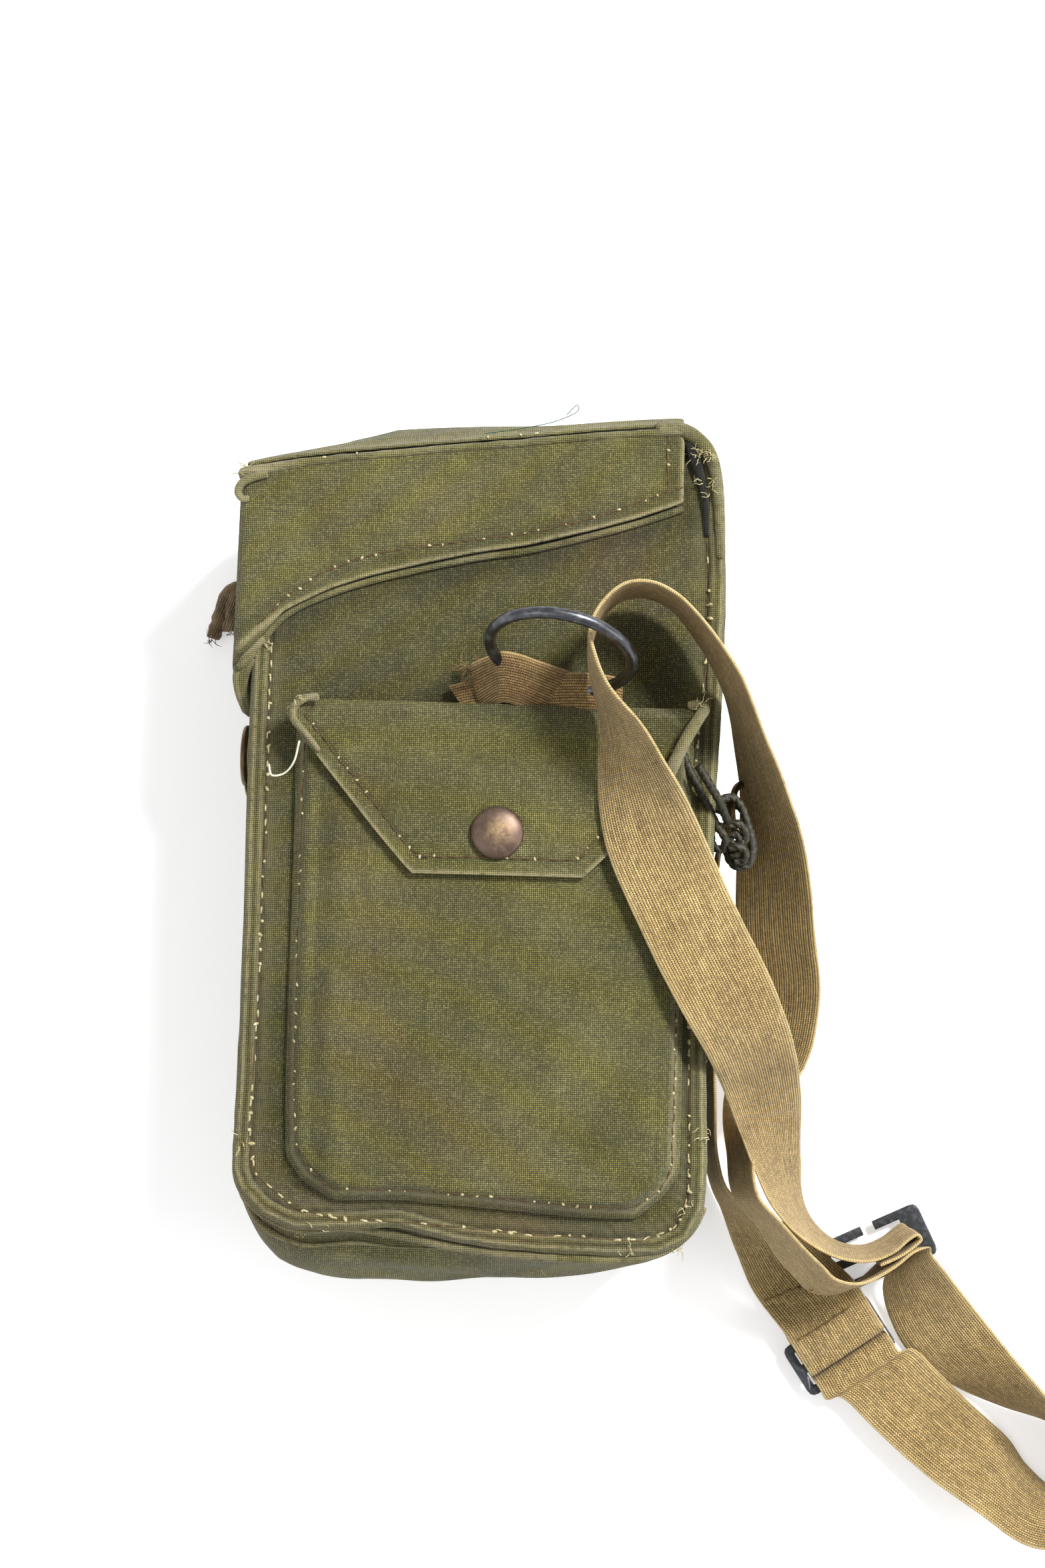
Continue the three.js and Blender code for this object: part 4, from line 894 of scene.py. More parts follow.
# %% Lid top. Its cloth is pulled in and pushed out along the bag's top wall.
# Shifts in millimetres at places across the bag.
TOP_PLACES = (-85, -68, -50, -34, -10, 28, 62)
TOP_SHIFTS = (-7, -5, 0.5, 3, 1.5, 0, -0.5)
lid_top = soft_copy("lid_top_cloth", "lid_top", 4, 1)
FOLD_HEIGHT = 86 * MM
for vertex in lid_top.data.vertices:
    p = vertex.co
    near_fold = fade(max(0.0, FOLD_HEIGHT - p.z), 14 * MM)
    p.z += (ripple(p.x, p.y) + 1.2 * MM) * near_fold
    p.y -= 1.6 * MM * fade(max(0.0, FOLD_HEIGHT - p.z), 4 * MM)
    wave = noise.noise(Vector((p.x * 22, p.y * 22, p.z * 30))) * 2.0
    p.y += wave * MM * (1 - near_fold)
    p.y += np.interp(p.x / MM, TOP_PLACES, TOP_SHIFTS) * MM * (1 - near_fold)
box_threads(lid_top.data)
store_edge(lid_top.data, lambda p: 0.35 * fade(FOLD_HEIGHT - p.z, 5 * MM))
finish_piece(lid_top, green_canvas, "green_canvas", "lid_top")
print("lid top faces:", len(lid_top.data.polygons))

# %% [markdown]
# ## Pocket and flap
# The pocket is a box of canvas sewn flat to the front, and its flap is cut as a trapezoid with a
# thick turned hem. The pocket's long brown streak is dirt that gathered in an old crease, so it
# goes into the attribute for darkening, as the dirt along the stitches does.

# %% Pocket
POCKET_HEM = 5.2 * MM
STREAK_X = -49 * MM


def pocket_dirt(p):
    """The crease's streak, which wanders a little, and the hem's stitch line."""
    wander = 3 * MM * noise.noise(Vector(p) * 25)
    streak = 0.45 * fade(abs(p.x - STREAK_X + wander), 6 * MM)
    return streak + 0.22 * fade(abs(from_pocket(p.x, p.y) - POCKET_HEM), 1.3 * MM)


pocket = soft_copy("pocket_cloth", "pocket", 4, 2)
for vertex in pocket.data.vertices:
    p = vertex.co
    distance = from_pocket(p.x, p.y)
    p.z += ripple(p.x, p.y)
    p.z += hem_shape(distance - 4 * MM, 5 * MM, 0.0, 0.35 * MM)
box_threads(pocket.data)
store_edge(pocket.data, lambda p: 0.5 * fade(abs(from_pocket(p.x, p.y) - 2.6 * MM), 1.6 * MM)
           * fade(p.y - 34 * MM, 4 * MM))
store_dirt_and_shade(pocket.data, pocket_dirt)
finish_piece(pocket, green_canvas, "green_canvas", "pocket")
print("pocket faces:", len(pocket.data.polygons))

# %% Flap. Its right corner is drawn in, under the roll that is added there later.
FLAP_HEM = 5.2 * MM
CORNER_IN = 3.4 * MM
CORNER_FROM = 50 * MM
CORNER_RUN = 12 * MM
flap = soft_copy("pocket_flap_cloth", "pocket_flap", 4, 3)
for vertex in flap.data.vertices:
    p = vertex.co
    p.z += ripple(p.x, p.y)
    p.z += hem_shape(from_flap(p.x, p.y), FLAP_HEM, 0.9 * MM, 0.4 * MM)
    p.x -= CORNER_IN * clamp((p.x - CORNER_FROM) / CORNER_RUN)
box_threads(flap.data)
store_edge(flap.data, lambda p: 0.75 * fade(from_flap(p.x, p.y), 2.0 * MM))
store_dirt_and_shade(flap.data, lambda p: 0.4 * fade(abs(from_flap(p.x, p.y) - FLAP_HEM), 1.3 * MM))
finish_piece(flap, green_canvas, "green_canvas", "pocket_flap")
print("flap faces:", len(flap.data.polygons))

# %% [markdown]
# ## Webbing
# The sling is one long flat band of woven cotton. It can bend and twist but hardly stretches,
# so it is built from stations: each gives the band's middle, which way its width points and how
# far it leans. A smooth curve through the stations makes the path, and the band is swept along
# it with a thin woven edge. The threads' UVs run along the band, so the ribs follow every turn.

# %% Smooth curve through stations
def curve_through(points, steps, centripetal=True):
    """Points on a smooth curve that passes through the given points."""
    points = np.array(points, float)
    first = 2 * points[0] - points[1]
    last = 2 * points[-1] - points[-2]
    padded = np.vstack((first, points, last))
    result = []
    for k in range(1, len(padded) - 2):
        p0, p1, p2, p3 = padded[k - 1:k + 3]
        if centripetal:
            d0, d1, d2 = (max(1e-9, np.linalg.norm(b - a)) ** 0.5
                          for a, b in ((p0, p1), (p1, p2), (p2, p3)))
            t1 = ((p1 - p0) / d0 - (p2 - p0) / (d0 + d1) + (p2 - p1) / d1) * d1
            t2 = ((p2 - p1) / d1 - (p3 - p1) / (d1 + d2) + (p3 - p2) / d2) * d1
        else:
            t1, t2 = (p2 - p0) / 2, (p3 - p1) / 2
        for s in range(steps):
            t = s / steps
            result.append(
                (2 * t ** 3 - 3 * t ** 2 + 1) * p1 + (t ** 3 - 2 * t ** 2 + t) * t1
                + (3 * t ** 2 - 2 * t ** 3) * p2 + (t ** 3 - t ** 2) * t2)
    result.append(points[-1])
    return np.array(result)


print("points on a curve through 3 stations:", len(curve_through([(0, 0, 0), (1, 0, 0), (1, 1, 0)], 6)))

# %% Stations of the sling and the side strap
# Columns: x and y as shares of the bag's width and height, the height of the band's lowest rim
# as a share of the stack on the front, the heading of the width, and its lean, in degrees.
SLING_STATIONS = [
    (0.9, -0.515, 0.09, 60, -88), (0.944, -0.502, 0.095, 80, -88), (0.973, -0.489, 0.1, 100, -88),
    (0.984, -0.482, 0.1, 130, -88), (0.978, -0.476, 0.1, 100, -88), (0.96, -0.482, 0.1, 80, -88),
    (0.93, -0.496, 0.095, 70, -86), (0.885, -0.507, 0.085, 50, -84), (0.818, -0.504, 0.085, 30, -80),
    (0.75, -0.481, 0.13, 16, -74), (0.697, -0.444, 0.22, 8, -64), (0.663, -0.394, 0.34, 0, -52),
    (0.618, -0.311, 0.6, 0, -30), (0.572, -0.254, 0.86, 6, -16), (0.517, -0.195, 0.985, 18, -4),
    (0.458, -0.132, 1.0, 27, 0), (0.399, -0.065, 1.008, 28, 2), (0.35, -0.008, 1.012, 24, 18),
    (0.312, 0.051, 1.012, 8, 44), (0.28, 0.112, 1.012, -8, 70), (0.241, 0.15, 1.012, -20, 84),
    (0.219, 0.184, 1.012, -20, 89), (0.215, 0.217, 0.98, 160, 88), (0.238, 0.25, 0.96, 130, 89),
    (0.282, 0.274, 0.945, 100, 91), (0.338, 0.278, 0.935, 80, 92), (0.388, 0.266, 0.925, 50, 92),
    (0.439, 0.236, 0.915, 30, 90), (0.508, 0.177, 0.905, 10, 85), (0.562, 0.115, 0.72, 0, 78),
    (0.604, 0.055, 0.58, 0, 66), (0.634, -0.022, 0.46, 4, 46), (0.655, -0.107, 0.34, 2, 36),
    (0.676, -0.19, 0.24, 0, 34), (0.655, -0.275, 0.17, -2, 42), (0.6, -0.33, 0.16, 0, 68),
    (0.586, -0.385, 0.27, 6, 79), (0.594, -0.434, 0.37, 18, 80), (0.642, -0.465, 0.36, 38, 80),
    (0.689, -0.498, 0.32, 47, 76), (0.741, -0.527, 0.25, 52, 74), (0.776, -0.545, 0.19, 58, 74),
    (0.818, -0.55, 0.165, 76, 77), (0.868, -0.543, 0.125, 104, 83), (0.93, -0.52, 0.09, 116, 88),
    (0.978, -0.5, 0.09, 100, 87), (0.992, -0.506, 0.07, 52, 74), (0.982, -0.524, 0.055, 44, 58),
    (1.01, -0.557, 0.03, 37, 42), (1.082, -0.614, 0.004, 33, 30), (1.176, -0.664, 0.004, 24, 45),
    (1.26, -0.695, 0.004, 20, 66), (1.35, -0.722, 0.004, 10, 84), (1.405, -0.755, 0.004, 0, 90),
    (1.4, -0.8, 0.004, -40, 84), (1.35, -0.828, 0.004, -75, 64), (1.27, -0.822, 0.004, -98, 40),
    (1.19, -0.786, 0.004, -118, 30), (1.1, -0.748, 0.006, -126, 20), (0.996, -0.697, 0.03, -140, 12),
    (0.925, -0.663, 0.055, -146, 5),
]
SIDE_STRAP_STATIONS = [
    (0.521, -0.13, 0.26, 0, 90), (0.521, -0.24, 0.18, 0, 90), (0.527, -0.33, 0.08, 0, 88),
    (0.535, -0.39, 0.02, 0, 87), (0.56, -0.435, 0.006, 4, 84), (0.61, -0.462, 0.004, 10, 68),
    (0.675, -0.5, 0.004, 18, 42), (0.735, -0.545, 0.004, 28, 18),
]


def stations(table):
    middles, widths = [], []
    for x, y, rise, heading, lean in table:
        turned, leaned = math.radians(heading), math.radians(lean)
        rest = WEB_WIDTH / 2 * abs(math.sin(leaned)) + WEB_THICK / 2
        middles.append((x * 2 * HALF_WIDTH, y * 2 * HALF_HEIGHT, rise * FRONT_STACK + rest))
        widths.append((math.cos(turned) * math.cos(leaned), math.sin(turned) * math.cos(leaned),
                       math.sin(leaned)))
    return middles, widths


print("stations:", len(SLING_STATIONS), "and", len(SIDE_STRAP_STATIONS))

# %% [markdown]
# ## Through the slider
# A slider is a small plate with three bars. The sling's tail comes over the first bar and goes
# down through a slot, and the side strap's sewn loop goes round the middle bar. Both runs are
# written as profiles across the slider, from the plate's and the band's thicknesses with a small
# gap between them, and laid out in the slider's own frame.

# %% Where the band threads through the first slider
SLIDER_PLATE = 1.6 * MM
SLIDER_BAR = 3.3 * MM
SLIDER_DEPTH = 20 * MM
THREAD_GAP = 0.6 * MM
ABOVE = SLIDER_PLATE / 2 + THREAD_GAP + WEB_THICK / 2
BENEATH = ABOVE + WEB_THICK + THREAD_GAP
SLOT_MIDDLE = (SLIDER_DEPTH / 2 - SLIDER_BAR + SLIDER_BAR / 2) / 2


def slider_frame(x, y, z, heading, tilt):
    """A slider's middle and its long, short and upward directions."""
    turned, tilted = math.radians(heading), math.radians(tilt)
    long = Vector((math.cos(turned) * math.cos(tilted), math.sin(turned) * math.cos(tilted),
                   math.sin(tilted)))
    short = Vector((-math.sin(turned), math.cos(turned), 0))
    return Vector((x, y, z)), long, short, long.cross(short)


slider_one = slider_frame(0.85 * 2 * HALF_WIDTH, -0.629 * 2 * HALF_HEIGHT,
                          BENEATH + WEB_THICK / 2 + 0.4 * MM, 34, 0)


def threaded(frame_of_slider, profile, flipped=False):
    """Stations of a band that follows a profile across the slider."""
    centre, long, short, normal = frame_of_slider
    middles = [centre + short * a + normal * b for a, b in profile]
    width = -long if flipped else long
    return middles, [tuple(width)] * len(middles)


through = -SLOT_MIDDLE - 1.3 * MM
tail_profile = [
    (-SLIDER_DEPTH / 2 - 3 * MM, ABOVE), (through - 3.1 * MM, ABOVE + 0.3 * MM),
    (through - 0.75 * MM, ABOVE - 0.1 * MM), (through, 0.6 * MM), (through, -1.2 * MM),
    (through + 1.2 * MM, 0.8 * MM - BENEATH), (-1.5 * MM, -BENEATH), (3 * MM, -BENEATH),
    (12 * MM, -BENEATH),
]
top = ABOVE + WEB_THICK + THREAD_GAP
bend = SLIDER_BAR / 2 + ABOVE - SLIDER_PLATE / 2
loop_profile = [
    (SLIDER_DEPTH / 2 + 6 * MM, top), (SLIDER_DEPTH / 2, top), (SLOT_MIDDLE, top - 0.6 * MM),
    (0.6 * MM, ABOVE), (-SLIDER_BAR / 2, ABOVE), (-bend, 0.9 * MM), (-bend, -0.9 * MM),
    (-SLIDER_BAR / 2, -ABOVE), (1 * MM, -ABOVE), (SLOT_MIDDLE - 0.6 * MM, -0.8 * MM),
    (SLOT_MIDDLE + 0.6 * MM, 0.8 * MM), (2 * SLOT_MIDDLE - 1 * MM, ABOVE),
    (SLIDER_DEPTH / 2 + 8 * MM, ABOVE),
]
print("slot's middle from the slider's middle, mm:", round(SLOT_MIDDLE / MM, 2))

# %% [markdown]
# ## Sweeping the band
# A band is a grid: across it run fifteen columns, closer together at the rims, where the cloth
# turns over. Each point is the path's place, plus its share of the width, plus half the
# thickness along the normal. Two such faces and four narrow sides close the mesh.

# %% Sweep a band with woven edges
COLUMNS = (-1.0, -0.985, -0.95, -0.88, -0.7, -0.45, -0.2, 0.0, 0.2, 0.45, 0.7, 0.88, 0.95, 0.985, 1.0)
WORN_FROM = 0.86


def web_band(name, middles, widths, seed, steps=6, width=WEB_WIDTH, thick=1.5 * MM, waver=0.35 * MM):
    """A closed flat band and the points of its middle. Its rims are rounded, and it wavers a
    little as old cotton does."""
    path = curve_through(middles, steps)
    across = curve_through(widths, steps, centripetal=False)
    across /= np.linalg.norm(across, axis=1)[:, None]
    along = np.gradient(path, axis=0)
    normal = np.cross(along, across)
    normal /= np.maximum(np.linalg.norm(normal, axis=1), 1e-12)[:, None]
    run = np.concatenate(([0], np.cumsum(np.linalg.norm(np.diff(path, axis=0), axis=1))))
    vertices, threads, worn = [], [], []
    count = len(COLUMNS)
    for side in (1, -1):
        for k, point in enumerate(path):
            for share in COLUMNS:
                wobble = noise.noise(Vector((run[k] * 60, share * 1.5, seed)))
                rim = noise.noise(Vector((run[k] * 110, share * 40, seed + 4)))
                half = width / 2 * share + (waver * 0.7 * rim if abs(share) > 0.9 else 0)
                body = thick / 2 * (1 - abs(share) ** 22) ** 0.5
                offset = side * body + waver * wobble * (0.4 + 0.6 * abs(share))
                vertices.append(Vector(point + across[k] * half + normal[k] * offset))
                threads.append((share * width / 2, run[k]))
                worn.append(0.75 * max(0.0, (abs(share) - WORN_FROM) / 0.14))
    ring = len(path) * count
    faces = []
    for k in range(len(path) - 1):
        for j in range(count - 1):
            a = k * count + j
            faces.append((a, a + 1, a + count + 1, a + count))
            faces.append((ring + a, ring + a + count, ring + a + count + 1, ring + a + 1))
        for j, flip in ((0, False), (count - 1, True)):
            a = k * count + j
            quad = (a, a + count, ring + a + count, ring + a)
            faces.append(quad[::-1] if flip else quad)
    for k, flip in ((0, True), (len(path) - 1, False)):
        for j in range(count - 1):
            a = k * count + j
            quad = (a, a + 1, ring + a + 1, ring + a)
            faces.append(quad[::-1] if not flip else quad)
    obj = new_piece(name, vertices, faces)
    mesh = obj.data
    layer = mesh.uv_layers.new(name="threads")
    for loop in mesh.loops:
        layer.data[loop.index].uv = threads[loop.vertex_index]
    attribute = mesh.attributes.new("edge", "FLOAT", "POINT")
    attribute.data.foreach_set("value", worn)
    bm = bmesh.new()
    bm.from_mesh(mesh)
    bmesh.ops.recalc_face_normals(bm, faces=bm.faces)
    bm.to_mesh(mesh)
    bm.free()
    return obj, path


print("columns across a band:", len(COLUMNS))

# %% The sling and the side strap
middles, widths = stations(SLING_STATIONS)
tail_middles, tail_widths = threaded(slider_one, tail_profile, flipped=True)
sling, sling_path = web_band("sling_webbing", middles + [tuple(m) for m in tail_middles],
                             widths + tail_widths, seed=2.0)
finish_piece(sling, tan_webbing, "tan_webbing", "sling")
middles, widths = stations(SIDE_STRAP_STATIONS)
loop_middles, loop_widths = threaded(slider_one, loop_profile)
side_strap, _ = web_band("side_strap_webbing", middles + [tuple(m) for m in loop_middles],
                         widths + loop_widths, seed=11.0, waver=0.15 * MM)
finish_piece(side_strap, tan_webbing, "tan_webbing", "side_strap")
sling_length = float(np.linalg.norm(np.diff(sling_path, axis=0), axis=1).sum())
print("sling length, mm:", round(sling_length / MM), "faces:", len(sling.data.polygons))

# %% [markdown]
# ## Side tabs
# A small tab of webbing holds a ring on each side of the bag. Most of it is hidden, so it keeps
# its solid's shape, with rounded rims, a little roughness and thread of its own.

# %% Side tabs
def tab(name, node):
    piece = soft_copy(name, node, 3)
    for vertex in piece.data.vertices:
        p = vertex.co
        p += Vector((noise.noise(Vector(p) * 120), noise.noise(Vector(p) * 120 + Vector((4, 4, 4))),
                     noise.noise(Vector(p) * 90 + Vector((8, 1, 3))))) * 0.25 * MM
    box_threads(piece.data)
    low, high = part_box(node)
    store_edge(piece.data, lambda p: 0.6 * fade(min(p.x - low.x, high.x - p.x), 3 * MM))
    return finish_piece(piece, tan_webbing, "tan_webbing", node)


tab("side_tab_right_webbing", "side_tab_right")
left_tab = tab("side_tab_left_webbing", "side_tab_left")
# The left tab is pressed against the wall, so that only its rim shows past the bag.
WALL_LEFT = -81 * MM
for vertex in left_tab.data.vertices:
    vertex.co.x = WALL_LEFT + (vertex.co.x - WALL_LEFT) * 0.4
print("side tab faces:", len(left_tab.data.polygons))

# %% [markdown]
# ## The front ring's tab
# The front ring hangs in a short piece of webbing, darker and browner than the sling. It wraps
# the ring's wire and lies flat to both sides, with its lower part under the flap. A fold like
# this is a band along a few stations, so the sling's sweep makes it too.

# %% Ring tab
tab_webbing = cloth_material("tab_webbing", 0x6E5632, 0x937B50, 0xAE9668, 0x4A361F, WEB_PITCH, ratio=0.85,
                             fading=0.45, staining=0.5, weave_group=ribbed_weave, contrast=2.4)


def flat_band(name, rows, width, *replaced):
    """A short band of webbing. rows: x, y, z of its middle and how far its width turns, all in
    millimetres and degrees."""
    middles = [(x * MM, y * MM, z * MM) for x, y, z, _, _ in rows]
    widths = [(math.sin(math.radians(turn)) * math.cos(math.radians(rise)),
               math.cos(math.radians(turn)) * math.cos(math.radians(rise)), math.sin(math.radians(rise)))
              for _, _, _, turn, rise in rows]
    piece, _ = web_band(name, middles, widths, len(name), steps=10, width=width, thick=1.9 * MM)
    return finish_piece(piece, tab_webbing, "tan_webbing", *replaced)


WRAP_ROWS = [
    (-3, 45.8, 91.5, -14, 16), (1.5, 47.8, 96.2, -6, 26), (6, 49, 101.2, 0, 34), (11, 48.2, 101.4, 4, 34),
    (17, 46.6, 98.4, 10, 32), (23, 44.8, 95.4, 16, 26), (26, 44, 93, 18, 20),
]
END_ROWS = [(-9, 42, 89.4, -34, 0), (-5, 43, 89.6, -28, 0), (1, 44, 90, -12, 0), (8, 45, 90, 0, 0)]
FLAT_ROWS = [
    (16, 44.8, 93, 0, 8), (24, 45.2, 95.6, 0, 12), (32, 45.4, 96.8, 0, 12), (39, 45.2, 96.4, 0, 12),
    (46, 44.4, 94, 0, 8),
]
ring_tab = flat_band("ring_tab_webbing", WRAP_ROWS, 18.5 * MM, "ring_tab")
flat_band("ring_tab_end", END_ROWS, 13 * MM)
flat_band("ring_tab_flat", FLAT_ROWS, 13 * MM)
print("ring tab faces:", len(ring_tab.data.polygons))

# %% [markdown]
# ## Rings and sliders
# The rings and the sliders are metal, so their shape is exact, and the solids have it already.
# Copies with rounded corners catch the light as real worn metal does, and fine mottling in the
# shader dulls the shine. The right side ring is swung up on its tab, as it lies in the photograph.

# %% Rings and sliders
def round_metal(name, node, material, slot, levels, bevel=0.0):
    """A copy of a metal solid with bevelled corners, or smoothed where it is round."""
    mesh = nodes[node].data.copy()
    piece = place_mesh(name, mesh)
    weld_and_square(mesh)
    if bevel:
        cut = piece.modifiers.new("corners", "BEVEL")
        cut.width = bevel
        cut.segments = 3
        cut.limit_method = "ANGLE"
        cut.angle_limit = math.radians(35)
    if levels:
        smooth = piece.modifiers.new("round", "SUBSURF")
        smooth.levels = smooth.render_levels = levels
    apply_modifiers(piece)
    return finish_piece(piece, material, slot, node)


round_metal("front_ring_wire", "ring", dark_steel, "dark_steel", 2)
side_ring = round_metal("side_ring_right_wire", "side_ring_right", aged_brass, "aged_brass", 1)
swing_top = Vector((83.2, 12, 62.5)) * MM
swing = Matrix.Translation(swing_top) @ Matrix.Rotation(math.radians(-26), 4, "Y")
swing = Matrix.Translation(Vector((1.5, -2, 11)) * MM) @ swing @ Matrix.Translation(-swing_top)
side_ring.data.transform(swing)
left_ring = round_metal("side_ring_left_wire", "side_ring_left", aged_brass, "aged_brass", 1)
left_ring.data.transform(Matrix.Translation((0.9 * MM, 2 * MM, 0)))
slider_plates = [round_metal(slider + "_plate", slider, black_paint, "black_paint", 0, 0.5 * MM)
                 for slider in ("slider_1", "slider_2")]
# The first slider's far end is tucked under the sewn strap.
centre, long, _, _ = slider_one
TUCKED_FROM = 16 * MM
for vertex in slider_plates[0].data.vertices:
    reach = (vertex.co - centre).dot(long)
    if reach > TUCKED_FROM:
        vertex.co -= long * (reach - TUCKED_FROM) * 0.8
print("slider faces:", [len(plate.data.polygons) for plate in slider_plates])

# %% [markdown]
# ## The second slider's end plate
# The second slider shows a broad end plate with rounded corners. Its four upright edges get a
# wide bevel, chosen by edge weights, and then every edge gets a narrow one, so the plate has the
# soft rims that lacquer leaves.

# %% End plate
PLATE_LONG, PLATE_SHORT, PLATE_THICK = 8 * MM, 19.6 * MM, 1.9 * MM
PLATE_OUT = 15.8 * MM
centre, long, short, normal = slider_frame(0.93 * 2 * HALF_WIDTH, -0.508 * 2 * HALF_HEIGHT, 3.9 * MM, 26, 8)
bm = bmesh.new()
bmesh.ops.create_cube(bm, size=1.0)
for v in bm.verts:
    place = Vector((v.co.x * PLATE_LONG, v.co.y * PLATE_SHORT, v.co.z * PLATE_THICK))
    v.co = centre + long * (PLATE_OUT + place.x) + short * place.y + normal * place.z
plate_mesh = bpy.data.meshes.new("slider_2_end_plate")
bm.to_mesh(plate_mesh)
bm.free()
end_plate = place_mesh("slider_2_end_plate", plate_mesh)
for limit, cut_width in (("corners", 2.6 * MM), ("edges", 0.45 * MM)):
    cut = end_plate.modifiers.new(limit, "BEVEL")
    cut.width = cut_width
    cut.segments = 4
    cut.limit_method = "ANGLE"
    if limit == "corners":
        cut.limit_method = "WEIGHT"
weights = plate_mesh.attributes.new("bevel_weight_edge", "FLOAT", "EDGE")
for edge in plate_mesh.edges:
    a, b = (plate_mesh.vertices[k].co for k in edge.vertices)
    weights.data[edge.index].value = 1.0 if abs((b - a).normalized().dot(normal)) > 0.9 else 0.0
apply_modifiers(end_plate)
finish_piece(end_plate, black_paint, "black_paint")
print("end plate faces:", len(end_plate.data.polygons))

# %% [markdown]
# ## Press stud
# The stud's cap is a shallow dome of brown bronze, with a painted highlight: its middle is painted
# paler, as light falls on the dome. A dome is a profile turned round an axis, so rings of points
# are made from a short table and joined.

# %% Press stud
SNAP_RADIUS = 8.8 * MM
SNAP_SIDES = 64
snap_low, snap_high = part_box("snap_cap")
snap_middle = (snap_low + snap_high) / 2
# Columns: share of the radius and height in millimetres, from the rim to the dome's top.
SNAP_PROFILE = [
    (0.0, 0.0), (0.94, 0.0), (0.985, 0.2), (1.0, 0.55), (0.985, 0.9), (0.94, 1.3), (0.86, 1.75),
    (0.74, 2.2), (0.6, 2.55), (0.44, 2.82), (0.3, 2.98), (0.15, 3.08), (0.0, 3.1),
]
bm = bmesh.new()
rings_of_points = []
for share, height in SNAP_PROFILE:
    if share == 0:
        rings_of_points.append([bm.verts.new((0, 0, height * MM))])
        continue
    angles = [2 * math.pi * n / SNAP_SIDES for n in range(SNAP_SIDES)]
    rings_of_points.append([
        bm.verts.new((share * SNAP_RADIUS * math.cos(a), share * SNAP_RADIUS * math.sin(a), height * MM))
        for a in angles])
for inner, outer in zip(rings_of_points, rings_of_points[1:]):
    for n in range(SNAP_SIDES):
        m = (n + 1) % SNAP_SIDES
        if len(inner) == 1:
            bm.faces.new((inner[0], outer[n], outer[m]))
        elif len(outer) == 1:
            bm.faces.new((inner[n], outer[0], inner[m]))
        else:
            bm.faces.new((inner[n], outer[n], outer[m], inner[m]))
bmesh.ops.recalc_face_normals(bm, faces=bm.faces)
snap_mesh = bpy.data.meshes.new("snap_cap_metal")
bm.to_mesh(snap_mesh)
bm.free()
snap = place_mesh("snap_cap_metal", snap_mesh)
snap_lift = ripple(snap_middle.x, snap_middle.y)
snap_mesh.transform(Matrix.Translation((snap_middle.x, snap_middle.y, snap_low.z + snap_lift)))
# The edge attribute here paints a highlight: the dome's middle takes the paler colour.
store_edge(snap_mesh, lambda p: 0.75 * fade((Vector(p) - snap_middle).xy.length, 6.5 * MM))
finish_piece(snap, highlit_stud_bronze, "aged_brass", "snap_cap")
print("stud faces:", len(snap_mesh.polygons))

# %% [markdown]
# ## Stitches
# Strong pale thread shows as short raised dashes that dip into the cloth at both ends. Each
# stitch is a small tapered capsule. A ray is dropped on the finished cloth at its two ends and
# its middle, so a stitch follows every ripple. All stitches of one thread are one mesh.

# %% Finding the cloth under a stitch
ABOVE_ALL = 300 * MM


def surface_of(*objects):
    """A search tree over finished pieces, for dropping stitches on them."""
    vertices, faces = [], []
    for obj in objects:
        start = len(vertices)
        vertices.extend(v.co.copy() for v in obj.data.vertices)
        faces.extend(tuple(start + k for k in polygon.vertices) for polygon in obj.data.polygons)
    return BVHTree.FromPolygons(vertices, faces)


def drop(tree, x, y):
    """Where a ray from above meets the cloth, and which way the cloth faces there."""
    hit, normal, _, _ = tree.ray_cast(Vector((x, y, ABOVE_ALL)), Vector((0, 0, -1)))
    return hit, normal


def resample(walk, spacing):
    """Points at even steps along a walk."""
    points = [Vector((x, y)) for x, y in walk]
    runs = [0.0]
    for a, b in zip(points, points[1:]):
        runs.append(runs[-1] + (b - a).length)
    count = max(1, int(runs[-1] / spacing))
    result = []
    for n in range(count + 1):
        target = runs[-1] * n / count
        k = max(j for j, r in enumerate(runs) if r <= target + 1e-9)
        k = min(k, len(points) - 2)
        share = (target - runs[k]) / max(1e-9, runs[k + 1] - runs[k])
        result.append(points[k].lerp(points[k + 1], share))
    return result


def tube_along(points, radii, sides, vertices, faces):
    """Adds a closed tube to the lists."""
    start = len(vertices)
    count = len(points)
    for k, p in enumerate(points):
        along = (points[min(k + 1, count - 1)] - points[max(k - 1, 0)]).normalized()
        helper = Vector((0, 0, 1)) if abs(along.z) < 0.9 else Vector((1, 0, 0))
        a = along.cross(helper).normalized()
        b = along.cross(a).normalized()
        for n in range(sides):
            turned = 2 * math.pi * n / sides
            vertices.append(p + (a * math.cos(turned) + b * math.sin(turned)) * radii[k])
    for k in range(count - 1):
        for n in range(sides):
            m = (n + 1) % sides
            low, high = start + k * sides, start + (k + 1) * sides
            faces.append((low + n, low + m, high + m, high + n))
    faces.append(tuple(start + n for n in reversed(range(sides))))
    faces.append(tuple(start + (count - 1) * sides + n for n in range(sides)))


print("stitch places on 10 mm:", len(resample([(0, 0), (10 * MM, 0)], 1.3 * MM)))

# %% Stitches, seam thread and knots
# Places along a stitch, and its height and thickness there, as shares of the thread.
STITCH_SHARES = (0.0, 0.12, 0.35, 0.65, 0.88, 1.0)
STITCH_LIFTS = (-0.55, 0.1, 0.62, 0.62, 0.1, -0.55)
STITCH_RADII = (0.55, 0.85, 1.0, 1.0, 0.85, 0.55)


